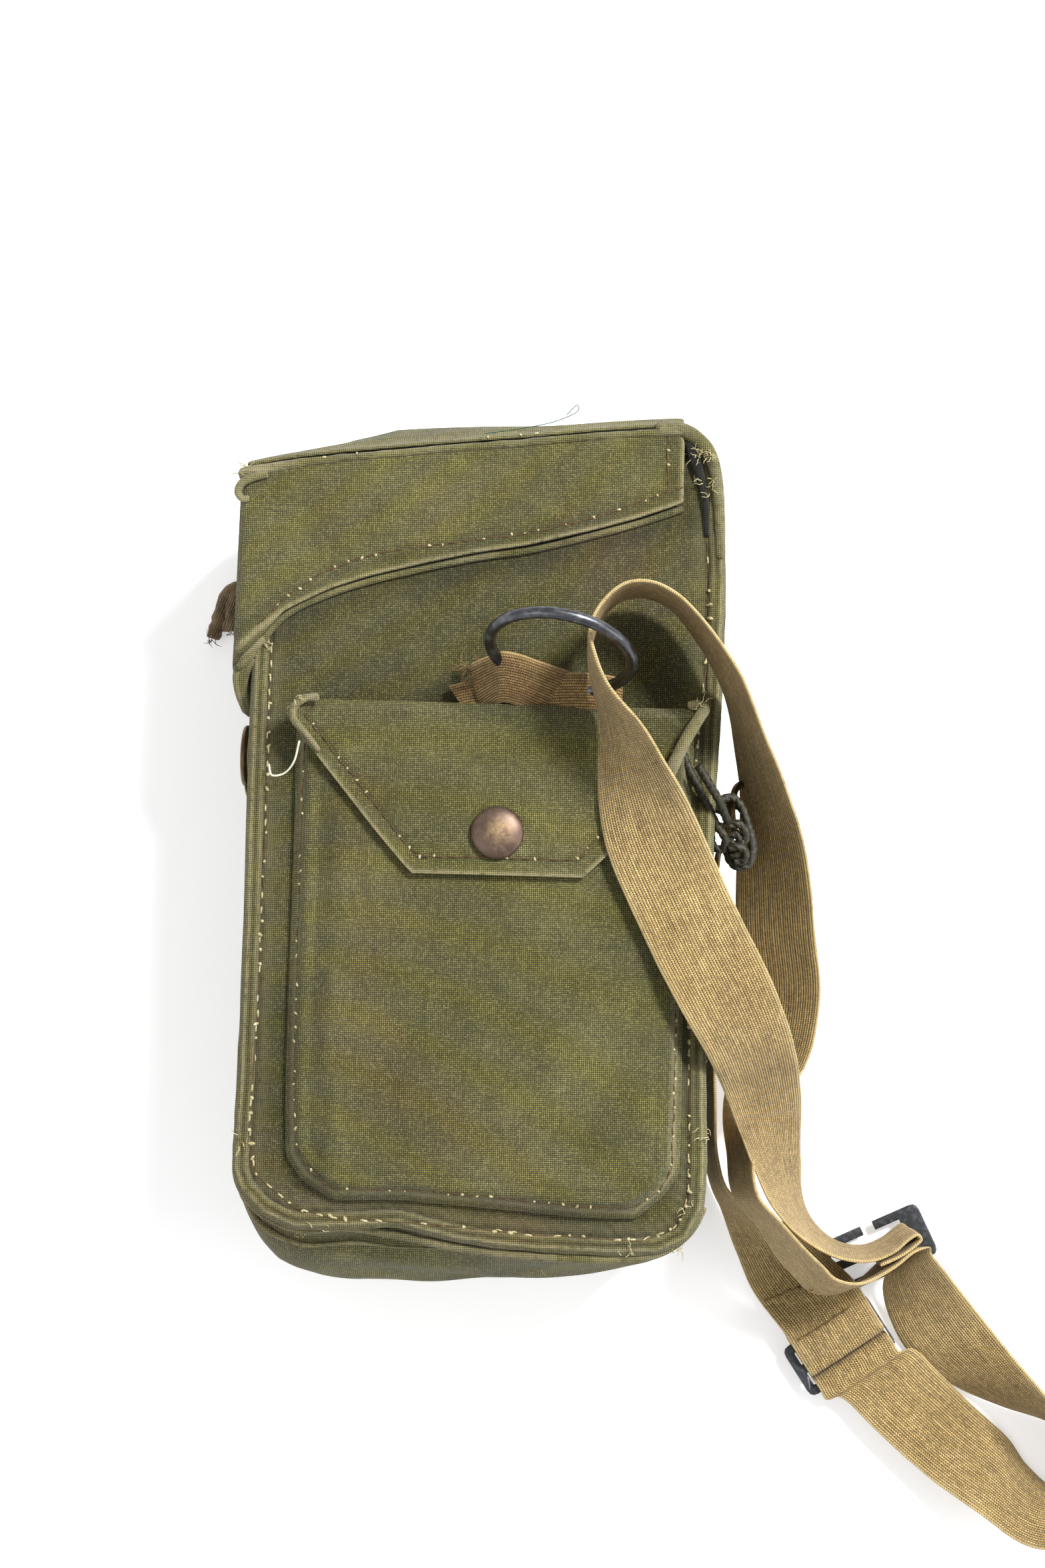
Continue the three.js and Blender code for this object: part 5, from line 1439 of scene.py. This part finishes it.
def stitches(name, runs, tree, material, slot, seed, thread=0.34 * MM, length=3.1 * MM,
             spacing=4.7 * MM, skip=0.04):
    """One mesh of stitch rows. runs is a list of walks of (x, y) in metres."""
    dice = random.Random(seed)
    vertices, faces = [], []
    for walk in runs:
        places = resample(walk, spacing)
        for here, after in zip(places, places[1:]):
            if dice.random() < skip:
                continue
            along = (after - here).normalized()
            side = Vector((-along.y, along.x)) * dice.uniform(-0.25, 0.25) * MM
            angle = dice.uniform(-0.1, 0.1)
            turned = Vector((along.x - along.y * angle, along.y + along.x * angle))
            points = []
            for share, lift in zip(STITCH_SHARES, STITCH_LIFTS):
                at = here + side + turned * length * share
                hit, normal = drop(tree, at.x, at.y)
                if hit is None:
                    points = []
                    break
                points.append(hit + normal * lift * thread)
            if points:
                radii = [thread * r * dice.uniform(0.92, 1.08) for r in STITCH_RADII]
                tube_along(points, radii, 6, vertices, faces)
    piece = new_piece(name, vertices, faces)
    return finish_piece(piece, material, slot)


def seam_lines(name, runs, tree, material, slot, thread, seed):
    """The darker thread that shows between stitches, as one thin tube along each row."""
    dice = random.Random(seed)
    vertices, faces = [], []
    for walk in runs:
        points, radii = [], []
        for at in resample(walk, 1.3 * MM):
            x = at.x + dice.uniform(-0.1, 0.1) * MM
            y = at.y + dice.uniform(-0.1, 0.1) * MM
            hit, normal = drop(tree, x, y)
            if hit is not None:
                points.append(hit + normal * dice.uniform(-0.5, 0.25) * thread)
                radii.append(thread * dice.uniform(0.8, 1.15))
        if len(points) > 2:
            tube_along(points, radii, 5, vertices, faces)
    return finish_piece(new_piece(name, vertices, faces), material, slot)


def thread_knots(name, runs, tree, material, slot, chance, size, seed, spacing=4.7 * MM):
    """Small pale lumps of thread where the stitches come up through the cloth."""
    dice = random.Random(seed)
    vertices, faces = [], []
    for walk in runs:
        for at in resample(walk, spacing):
            if dice.random() > chance:
                continue
            turned = dice.uniform(0, math.pi)
            reach = size * dice.uniform(0.5, 1.7)
            across = Vector((math.cos(turned), math.sin(turned))) * reach
            middle = at + Vector((dice.uniform(-0.35, 0.35), dice.uniform(-0.35, 0.35))) * MM
            points = []
            for share in (-1, -0.4, 0.4, 1):
                hit, normal = drop(tree, middle.x + across.x * share, middle.y + across.y * share)
                if hit is not None:
                    points.append(hit + normal * size * dice.uniform(0.1, 0.6))
            if len(points) == 4:
                radii = [size * r * dice.uniform(0.8, 1.2) for r in (0.45, 0.9, 1.0, 0.4)]
                tube_along(points, radii, 6, vertices, faces)
    return finish_piece(new_piece(name, vertices, faces), material, slot)


print("points along a stitch:", len(STITCH_SHARES))

# %% [markdown]
# ## Rows of thread
# The rows follow the welts, the pocket, the lid and the flap, as measured on the photograph. Each
# row has a dark thread all along it, short stitches over that, and pale lumps where the thread
# comes up through the cloth.

# %% Where the rows run, in millimetres on the bag's front
def mm_walk(*points):
    return [(x * MM, y * MM) for x, y in points]


WELT_ROW = mm_walk((-74.2, 100), (-73.9, 61), (-73.2, 7), (-73.2, -60), (-74.2, -104), (-71.5, -118),
                   (-58, -128.5), (-47, -131), (-12, -132.5), (21, -135.2), (57, -136.2), (69, -131.5),
                   (72.6, -122), (72.2, -100), (71.4, -60))
WELT_ROW_RIGHT = mm_walk((71.5, 20), (74.5, 50), (75.8, 68), (75.6, 90), (73.4, 113), (68.5, 127))
POCKET_ROW = mm_walk((-60.4, 26), (-60.1, -38), (-59.4, -80), (-57.6, -107), (-52.5, -115.2),
                     (-45.4, -121.4),
                     (-23, -121), (8, -122.6), (36, -125), (54.5, -124.6), (62, -119.5), (66.2, -113),
                     (66.6, -64), (66.8, -30))
LID_ROW = mm_walk((66, 119), (57, 116), (36, 107.5), (14.6, 101.5), (-8, 97.6), (-30.9, 94.3), (-46, 90.6),
                  (-58, 85), (-68, 77.5), (-78.5, 67))
LID_END_ROW = mm_walk((60.3, 137), (60.6, 117))
LID_PALE_ROW = mm_walk((60, 140), (30, 138.2), (0, 134.8), (-30, 130.6), (-58, 125.8))
FLAP_ROW = mm_walk((-60.5, 35.5), (-41, 12), (-21.4, -11.4), (32, -11.4), (50, 8.5), (69.5, 33.5))
WELT_ROWS = [WELT_ROW, WELT_ROW_RIGHT]
LID_ROWS = [LID_ROW, LID_END_ROW]
STRAP_ROWS = [mm_walk((107.5, -163.2), (122.3, -156.2)), mm_walk((118.8, -176.1), (137.6, -163.6))]
print("rows on the welt, lid and strap:", len(WELT_ROWS), len(LID_ROWS), len(STRAP_ROWS))

# %% Thread on the canvas
on_welt = surface_of(front_panel, front_welt)
on_lid = surface_of(lid_front, lid_top, lid_piping)
on_pocket = surface_of(pocket)
on_flap = surface_of(flap)
seam_lines("welt_seam", WELT_ROWS, on_welt, dark_thread, "green_canvas", thread=0.32 * MM, seed=31)
stitches("welt_stitches", WELT_ROWS, on_welt, pale_thread, "green_canvas", length=2.6 * MM, spacing=4.9 * MM,
         skip=0.45, seed=3)
thread_knots("welt_knots", WELT_ROWS, on_welt, pale_thread, "green_canvas", spacing=4.9 * MM, chance=0.6,
             size=0.62 * MM, seed=4)
for name, rows, tree, seed in (("pocket", [POCKET_ROW], on_pocket, 5), ("lid", LID_ROWS, on_lid, 7),
                               ("flap", [FLAP_ROW], on_flap, 9)):
    seam_lines(name + "_seam", rows, tree, dark_thread, "green_canvas", thread=0.22 * MM, seed=seed + 30)
    stitches(name + "_stitches", rows, tree, dark_thread, "green_canvas", thread=0.3 * MM, seed=seed)
    thread_knots(name + "_knots", rows, tree, pale_thread, "green_canvas", chance=0.5, size=0.45 * MM,
                 seed=seed + 1)
thread_knots("lid_top_knots", [LID_PALE_ROW], on_lid, pale_thread, "green_canvas", spacing=5.5 * MM,
             chance=0.6, size=0.5 * MM, seed=17)

# %% Thread on the side strap
on_strap = surface_of(side_strap, sling)
seam_lines("strap_seam", STRAP_ROWS, on_strap, web_thread, "tan_webbing", thread=0.34 * MM, seed=41)
stitches("strap_stitches", STRAP_ROWS, on_strap, web_thread, "tan_webbing",
         thread=0.45 * MM, spacing=3.4 * MM, length=2.6 * MM, seed=13)
print("rows sewn across the strap:", len(STRAP_ROWS))

# %% [markdown]
# ## Rolled layers under the lid
# The lid is lined, and the lining's own rolled edge shows just below the hem. At the lower left
# the hems of the lid and of its side turn down over the bag's wall, one inside the other. Each
# is a roll of cloth, so a tube along its line is enough.

# %% Roll maker
ROLL_SIDES = 16
rolls = []


def cloth_roll(name, points, radius, worn, thin_end=None, material=green_canvas):
    """A lumpy roll of canvas along points in millimetres. It narrows to thin_end, if given."""
    path = [Vector(p) for p in curve_through([Vector(p) * MM for p in points], 10)]
    last = len(path) - 1
    end = radius if thin_end is None else thin_end
    radii = [(radius + (end - radius) * k / last) * (1 + 0.12 * noise.noise(p * 160.0))
             for k, p in enumerate(path)]
    radii[0] *= 0.7
    radii[-1] *= 0.7
    vertices, faces = [], []
    tube_along(path, radii, ROLL_SIDES, vertices, faces)
    piece = new_piece(name, vertices, faces)
    box_threads(piece.data)
    store_edge(piece.data, lambda p: worn + 0.4 * noise.noise(Vector(p) * 70.0))
    rolls.append(name)
    return finish_piece(piece, material, "green_canvas")


print("sides of a roll:", ROLL_SIDES)

# %% Lining and side hems
lining_points = []
on_panel = surface_of(front_panel)
LINING_SHOWS = 1.2 * MM
for x, y in lid_walk[1:]:
    toward_side = min(1.0, max(0.0, (-70 * MM - x) / (13 * MM)))
    y -= LINING_SHOWS + 6 * MM * toward_side
    hit, _ = drop(on_panel, x, y)
    height = 85 if hit is None else hit.z / MM
    lining_points.append((x / MM, y / MM, height + 1.0))
cloth_roll("lid_lining", lining_points, 1.3 * MM, 0.2)
SIDE_HEMS = [
    [(-76, 62.5, 87), (-80.4, 58.6, 86.4), (-84, 54.5, 85), (-85.6, 50, 83), (-85, 44.5, 79.5),
     (-82.6, 38.5, 75)],
    [(-79, 58, 85.6), (-82.4, 53.8, 84.6), (-84, 49.5, 82.3), (-83.7, 44, 79), (-82, 38, 75)],
    [(-79.4, 55.5, 85.2), (-81.6, 52, 84.2), (-82.7, 48.5, 81.8), (-82.4, 43.2, 78.5), (-81.4, 37.5, 74.5)],
]
for number, hem in enumerate(SIDE_HEMS, 1):
    cloth_roll("lid_side_hem_%d" % number, hem, 1.25 * MM, 0.5 if number == 1 else 0.2)
print("rolls under the lid:", rolls)

# %% [markdown]
# ## Ridges, mouth and curled corners
# Other turned edges show as rolls too: two ridges of the bottom wall's seams, the rim of the
# mouth beside the lid with the dark gap inside it, painted as shade by a near-black roll, the worn
# ear at the piping's left end, and the flap's corners, which curl up.

# %% Ridges, mouth and curled corners
# Below the front welt, the bottom wall's own turned seams make two more ridges.
cloth_roll("bottom_ridge", [(-78.2, -106, 80.5), (-77.4, -120.5, 81.3), (-69.5, -130.5, 81.5),
                            (-56.3, -135.6, 81.5),
                            (-40.8, -134.4, 81.5), (-23, -136.8, 81.5), (-0.7, -140.4, 81.5),
                            (34.8, -142.7, 81.5), (61.3, -140.8, 81.5), (72.3, -134, 81.5),
                            (77.9, -124.5, 82)],
           1.5 * MM, 0.4)
cloth_roll("bottom_ridge_low", [(-77, -124, 78), (-69, -135.5, 76), (-56.8, -141, 75), (-36.8, -140, 76),
                                (-23.3, -141, 77), (-8, -141, 78)], 1.2 * MM, 0.35, 0.3 * MM)
# The wall's rim turns the top right corner beside the lid, with the dark mouth inside it.
cloth_roll("mouth_rim", [(56, 139.4, 86.4), (64, 139.8, 86.8), (70.6, 136.6, 87.2), (74.8, 131.4, 87.2),
                         (77, 125, 86.8), (78.1, 117, 86.2), (78.9, 106, 85.8), (79.3, 95, 85.2)],
           2.9 * MM, 0.35, 1.7 * MM)
# Painted shade: a near-black roll lies in the mouth's gap, where shadow falls.
cloth_roll("mouth_shadow", [(67.2, 137, 85.4), (69, 132, 85.6), (71, 126.5, 85.6), (72.8, 120, 85.4),
                            (74, 112, 85.2),
                            (74.6, 103, 84.6)], 2.2 * MM, 0.0, 0.8 * MM, painted_shade_cloth)
# The piping's left end is a worn ear that turns down over the lid's side.
cloth_roll("lid_ear", [(-77, 119.6, 88.6), (-82, 118.2, 88.8), (-86, 116, 88.4), (-87.2, 113.2, 87.8),
                       (-85.8, 111, 87.4), (-83.2, 110.8, 87.6)], 1.5 * MM, 0.65, 1.2 * MM)
# The flap's corners curl up in thick worn rolls.
cloth_roll("flap_curl_right", [(58.5, 10, 99.6), (61, 15.8, 100.6), (64.5, 23.5, 101.6), (68.1, 31, 102.6),
                               (71.6, 37, 103), (73.2, 39.9, 102.4), (71.6, 41.4, 101), (68, 41.2, 99.8)],
           2.3 * MM, 0.65, 1.6 * MM)
cloth_roll("flap_curl_left", [(-55.5, 40.8, 98.6), (-60, 40.2, 99.4), (-63.4, 37.2, 99.8),
                              (-63.6, 33.4, 99.8),
                              (-60.2, 29.4, 99.4), (-54.6, 22.6, 99)], 1.5 * MM, 0.7, 0.9 * MM)
print("rolls in all:", len(rolls))

# %% [markdown]
# ## Loose threads and frayed corners
# Old canvas shows broken yarn where it was cut or rubbed: at the corners, along the welts and at
# the ring's tab. Each loose yarn is a thin tapered tube that starts in the cloth and curls away.

# %% Frays
def frays(name, spots, material, slot, seed, thickness):
    """spots: (place, how many, how long, how wide a patch), in metres."""
    dice = random.Random(seed)
    vertices, faces = [], []
    for place, count, length, patch in spots:
        for _ in range(count):
            p = Vector(place) + Vector([dice.uniform(-patch, patch) for _ in range(3)]) * 0.7
            heading = dice.uniform(0, 2 * math.pi)
            climb = dice.uniform(-0.1, 0.7)
            reach = length * dice.uniform(0.5, 1.1)
            points = []
            for k in range(7):
                points.append(p.copy())
                heading += dice.uniform(-0.7, 0.7)
                climb += dice.uniform(-0.35, 0.3)
                p += Vector((math.cos(heading), math.sin(heading), math.sin(climb))) * reach / 6
                p.z = max(p.z, 0.5 * MM)
            radii = [thickness * (1 - 0.1 * k) for k in range(7)]
            tube_along(points, radii, 5, vertices, faces)
    return finish_piece(new_piece(name, vertices, faces), material, slot)


def on_front(x, y, z):
    """A place on the bag, given in millimetres."""
    return Vector((x, y, z)) * MM


front_frays = [
    (on_front(74.5, 120, 86), 12, 4 * MM, 4 * MM), (on_front(70, 131, 86), 10, 4.5 * MM, 4 * MM),
    (on_front(-86, 121, 87), 14, 4 * MM, 2.5 * MM), (on_front(-74.5, 60, 86.5), 6, 3 * MM, 2 * MM),
    (on_front(-76, -107, 86), 10, 3.5 * MM, 3 * MM), (on_front(-50, -134, 86), 6, 3 * MM, 3 * MM),
    (on_front(72, -126, 86), 8, 3.5 * MM, 3 * MM), (on_front(76.8, -100, 86), 8, 3.5 * MM, 3 * MM),
    (on_front(77.5, -75, 86), 7, 3 * MM, 3 * MM), (on_front(52, -140, 86), 6, 3 * MM, 3 * MM),
    (on_front(70.5, 131, 87.5), 12, 3 * MM, 2 * MM), (on_front(75, 131, 89), 16, 3 * MM, 2.5 * MM),
    (on_front(-62, 39, 101), 12, 3 * MM, 2.5 * MM), (on_front(72, 41, 103), 10, 3 * MM, 2 * MM),
    (on_front(-56, -137, 80), 8, 3 * MM, 3 * MM), (on_front(-30, -136, 81), 6, 2.5 * MM, 3 * MM),
    (on_front(69, -139, 82), 14, 3 * MM, 3 * MM), (on_front(24, -148, 60), 6, 2.5 * MM, 3 * MM),
]
frays("canvas_frays", front_frays, pale_thread, "green_canvas", seed=21, thickness=0.2 * MM)
tab_frays = [(on_front(-7, 54, 90.5), 20, 7 * MM, 3 * MM), (on_front(-2.5, 50, 92), 22, 6 * MM, 3.5 * MM),
             (on_front(1.5, 46, 93), 12, 5 * MM, 2.5 * MM)]
frays("tab_frays", tab_frays, web_thread, "tan_webbing", seed=23, thickness=0.22 * MM)
print("frayed spots:", len(front_frays) + len(tab_frays))

# %% Loose threads

def loose_thread(name, points, material, slot, radius):
    """A thin thread along points in millimetres."""
    path = [Vector(p) for p in curve_through([Vector(p) * MM for p in points], 8)]
    vertices, faces = [], []
    radii = [radius] * len(path)
    tube_along(path, radii, 6, vertices, faces)
    return finish_piece(new_piece(name, vertices, faces), material, slot)


loose_thread("white_thread", [(-72.5, 19, 88.2), (-71, 15, 91), (-67, 15.5, 92), (-63.5, 19, 95),
                              (-61.5, 26, 98)],
             plain_material("white_thread", 0xD8D6C0, 0.85), "green_canvas", 0.35 * MM)
loose_thread("green_thread", [(-3, 136, 88.5), (10, 138, 89.5), (22, 140.5, 91.5), (29, 144, 93),
                              (28.5, 145.5, 93.5),
                              (25, 142.5, 92)],
             plain_material("green_thread", 0x1E4A3A, 0.8), "green_canvas", 0.16 * MM)
print("materials:", len(bpy.data.materials))

# %% [markdown]
# ## Tie cord
# A short waxed cord comes from under the flap's corner, passes over the side ring and ends in
# its knot. It is a mesh tube on the same points as its solid. Its surface is cut by two spiral
# grooves, which is how a laid cord shows its strands.

# %% Cord
TIE_DIAMETER = 3 * MM
# Columns: shares of the half width, the half height and the bag's depth.
TIE_POINTS = [
    (0.9, 0.15, 1.175), (0.95, 0.112, 1.13), (1.0, 0.075, 1.07), (1.045, 0.035, 0.97),
    (1.058, 0.055, 0.84), (1.058, 0.088, 0.7675), (1.115, 0.08, 0.82), (1.15, 0.03, 0.85),
    (1.17, -0.02, 0.87), (1.155, -0.05, 0.87), (1.125, -0.045, 0.84),
]
tie_route = [(x * HALF_WIDTH, y * HALF_HEIGHT, z * BAG_DEPTH) for x, y, z in TIE_POINTS]
tie_path = [Vector(p) for p in curve_through(tie_route, 14)]
TIE_SIDES = 18
LAY_PITCH = 5.5 * MM


def laid_cord(path, diameter, vertices, faces):
    """Adds a cord whose surface is cut by three spiral grooves."""
    start = len(vertices)
    run = 0.0
    carried = Vector((0.1, 0.2, 1)).normalized()
    for k, point in enumerate(path):
        after, before = path[min(k + 1, len(path) - 1)], path[max(k - 1, 0)]
        along = (after - before).normalized()
        carried = (carried - along * carried.dot(along)).normalized()
        other = along.cross(carried)
        if k:
            run += (point - path[k - 1]).length
        for n in range(TIE_SIDES):
            around = 2 * math.pi * n / TIE_SIDES
            strand = abs(math.cos(1.5 * (around - 2 * math.pi * run / LAY_PITCH / 1.5)))
            radius = diameter / 2 * (0.74 + 0.3 * strand ** 0.7)
            vertices.append(point + (carried * math.cos(around) + other * math.sin(around)) * radius)
    for k in range(len(path) - 1):
        for n in range(TIE_SIDES):
            m = (n + 1) % TIE_SIDES
            low, high = start + k * TIE_SIDES, start + (k + 1) * TIE_SIDES
            faces.append((low + n, low + m, high + m, high + n))
    faces.append(tuple(start + n for n in reversed(range(TIE_SIDES))))
    faces.append(tuple(start + (len(path) - 1) * TIE_SIDES + n for n in range(TIE_SIDES)))


vertices, faces = [], []
laid_cord(tie_path, TIE_DIAMETER, vertices, faces)
tie = new_piece("tie_cord_laid", vertices, faces)
tie.data.uv_layers.new(name="threads")
finish_piece(tie, waxed_cord, "waxed_cord", "tie_cord")

print("points along the cord:", len(tie_path))

# %% [markdown]
# ## The cord's knot
# The cord ends in a tangle of loops drawn through each other. Each loop is the same laid cord on
# its own short path, and all of them are one mesh, since a knot moves as one piece.

# %% The cord's knot, in millimetres
KNOT_LOOPS = [
    [(80.5, 8, 82), (82, 12.4, 79), (85.2, 13.6, 78), (88.2, 11.3, 77.5), (91, 4.5, 77), (92.8, -3, 76),
     (92, -8.6, 75),
     (88.6, -10.2, 74.5), (85.4, -8, 74.5), (84, -2.5, 76.5), (86.2, 0.8, 78.8), (88.8, -1.5, 79),
     (88.2, -5.2, 78.5),
     (85.5, -6.6, 77)],
    [(66.5, 29, 90.5), (69, 22.5, 90), (73, 15, 88.5), (77, 8.5, 84.5), (80, 3.5, 81), (83.2, -1.2, 79.6),
     (82.4, -4.4, 78), (79.4, -3.4, 77), (78.4, 0.2, 77)],
    [(84, 3.4, 80), (87.2, 4.2, 81), (89.8, 1.8, 80.5), (89.6, -1.6, 79), (86.6, -2.6, 78),
     (83.8, -0.6, 77.5)],
    [(84.6, -4.2, 79), (87.4, -3.6, 80), (90, -5.4, 79.2), (89.6, -8, 77.6), (86.8, -8.4, 76.6)],
]
vertices, faces = [], []
for loop in KNOT_LOOPS:
    path = [Vector(p) for p in curve_through([Vector(p) * MM for p in loop], 12)]
    laid_cord(path, 2.9 * MM, vertices, faces)
knot = new_piece("cord_knot_turns", vertices, faces)
knot.data.uv_layers.new(name="threads")
finish_piece(knot, waxed_cord, "waxed_cord", "cord_knot")

print("knot faces:", len(knot.data.polygons))

# %% [markdown]
# ## Folded tape
# At the lid's left end a narrow brown tape lies on the table in a bunch of folds. Soft rolls
# beside each other, roughened by noise and frayed at their ends, look more like it than a flat
# band would.

# %% Folded tape, in millimetres
TAPE_FOLDS = [
    [(-95, 97.5, 5.5), (-98.2, 96.6, 5.2), (-101.4, 93.2, 4.8), (-103.2, 87, 4.4), (-104.8, 81, 4.2),
     (-105.9, 77.4, 4)],
    [(-95, 96, 5), (-97.4, 94.6, 5.4), (-98.6, 90, 5.6), (-98.8, 84.5, 5), (-98.2, 80.2, 4.4)],
    [(-97.5, 96, 3.8), (-100, 90, 3.4), (-101.2, 84, 3.2), (-101.6, 80.6, 3)],
]
vertices, faces = [], []
for fold in TAPE_FOLDS:
    path = [Vector(p) for p in curve_through([Vector(p) * MM for p in fold], 10)]
    radii = [2.75 * MM * (1 + 0.16 * noise.noise(p * 300.0)) for p in path]
    radii[0], radii[-1] = 1.6 * MM, 1.7 * MM
    radii[-2] = 2.4 * MM
    tube_along(path, radii, 22, vertices, faces)
tape = new_piece("tape_loop_cloth", vertices, faces)
for vertex in tape.data.vertices:
    p = vertex.co
    p += Vector((noise.noise(Vector(p) * 420), noise.noise(Vector(p) * 420 + Vector((3, 1, 2))),
                 noise.noise(Vector(p) * 420 + Vector((7, 5, 1))))) * 0.55 * MM
box_threads(tape.data, 0.35)
store_edge(tape.data, lambda p: 0.35 + 0.5 * noise.noise(Vector(p) * 200))
finish_piece(tape, brown_tape, "brown_tape", "tape_loop")
tape_frays = [((-106 * MM, 76.5 * MM, 5 * MM), 16, 3 * MM, 2 * MM),
              ((-99 * MM, 80 * MM, 5 * MM), 10, 3 * MM, 2 * MM)]
frays("tape_frays", tape_frays, dark_thread, "brown_tape", seed=29, thickness=0.17 * MM)
print("tape faces:", len(tape.data.polygons))

# %% [markdown]
# ## The cord's length
# A cord keeps its length however it lies. The photograph shows this one from the flap's corner
# to its knot.

# %% [markdown]
# ## Table and light
# The photograph has a white table so brightly lit that it burns out, with a soft light from the
# upper right. The floor is therefore plain, pale and a little luminous, the world gives an even
# fill, a key lamp makes the soft shadows to the lower left, and two weak lamps open them.

# %% Floor
bpy.ops.mesh.primitive_plane_add(size=8.0, location=(0, 0, 0))
floor = bpy.context.object
floor.name = "floor"
floor_material = bpy.data.materials.new("pale_floor")
floor_material.use_nodes = True
floor_shader = floor_material.node_tree.nodes["Principled BSDF"]
floor_shader.inputs["Base Color"].default_value = (0.86, 0.86, 0.87, 1)
floor_shader.inputs["Roughness"].default_value = 0.9
floor_shader.inputs["Emission Color"].default_value = (1.0, 1.0, 1.0, 1)
floor_shader.inputs["Emission Strength"].default_value = 0.38
floor.data.materials.append(floor_material)
print("floor:", floor.name)

# %% World and lamps
world = bpy.data.worlds.new("studio")
bpy.context.scene.world = world
world.use_nodes = True
world.node_tree.nodes["Background"].inputs["Color"].default_value = (1.0, 1.0, 1.0, 1)
world.node_tree.nodes["Background"].inputs["Strength"].default_value = 0.6


def softbox(name, place, aim, size, power):
    data = bpy.data.lights.new(name, "AREA")
    data.shape = "SQUARE"
    data.size = size
    data.energy = power
    lamp = bpy.data.objects.new(name, data)
    bpy.context.scene.collection.objects.link(lamp)
    lamp.location = place
    lamp.rotation_euler = (Vector(aim) - Vector(place)).to_track_quat("-Z", "Y").to_euler()
    return lamp


# Each lamp's name, place, what it points at, size in metres and power in watts.
LAMPS = [
    ("key_light", (0.75, 0.7, 1.35), (0.0, 0.0, 0.05), 0.35, 39),
    ("fill_light", (-0.9, -0.6, 1.2), (0.0, 0.0, 0.05), 1.0, 5),
    ("side_light", (1.2, -0.25, 0.6), (0.1, -0.05, 0.05), 0.6, 5),
]
for lamp in LAMPS:
    softbox(*lamp)
print("lamps:", [lamp[0] for lamp in LAMPS])
bpy.context.scene.view_settings.view_transform = "Standard"
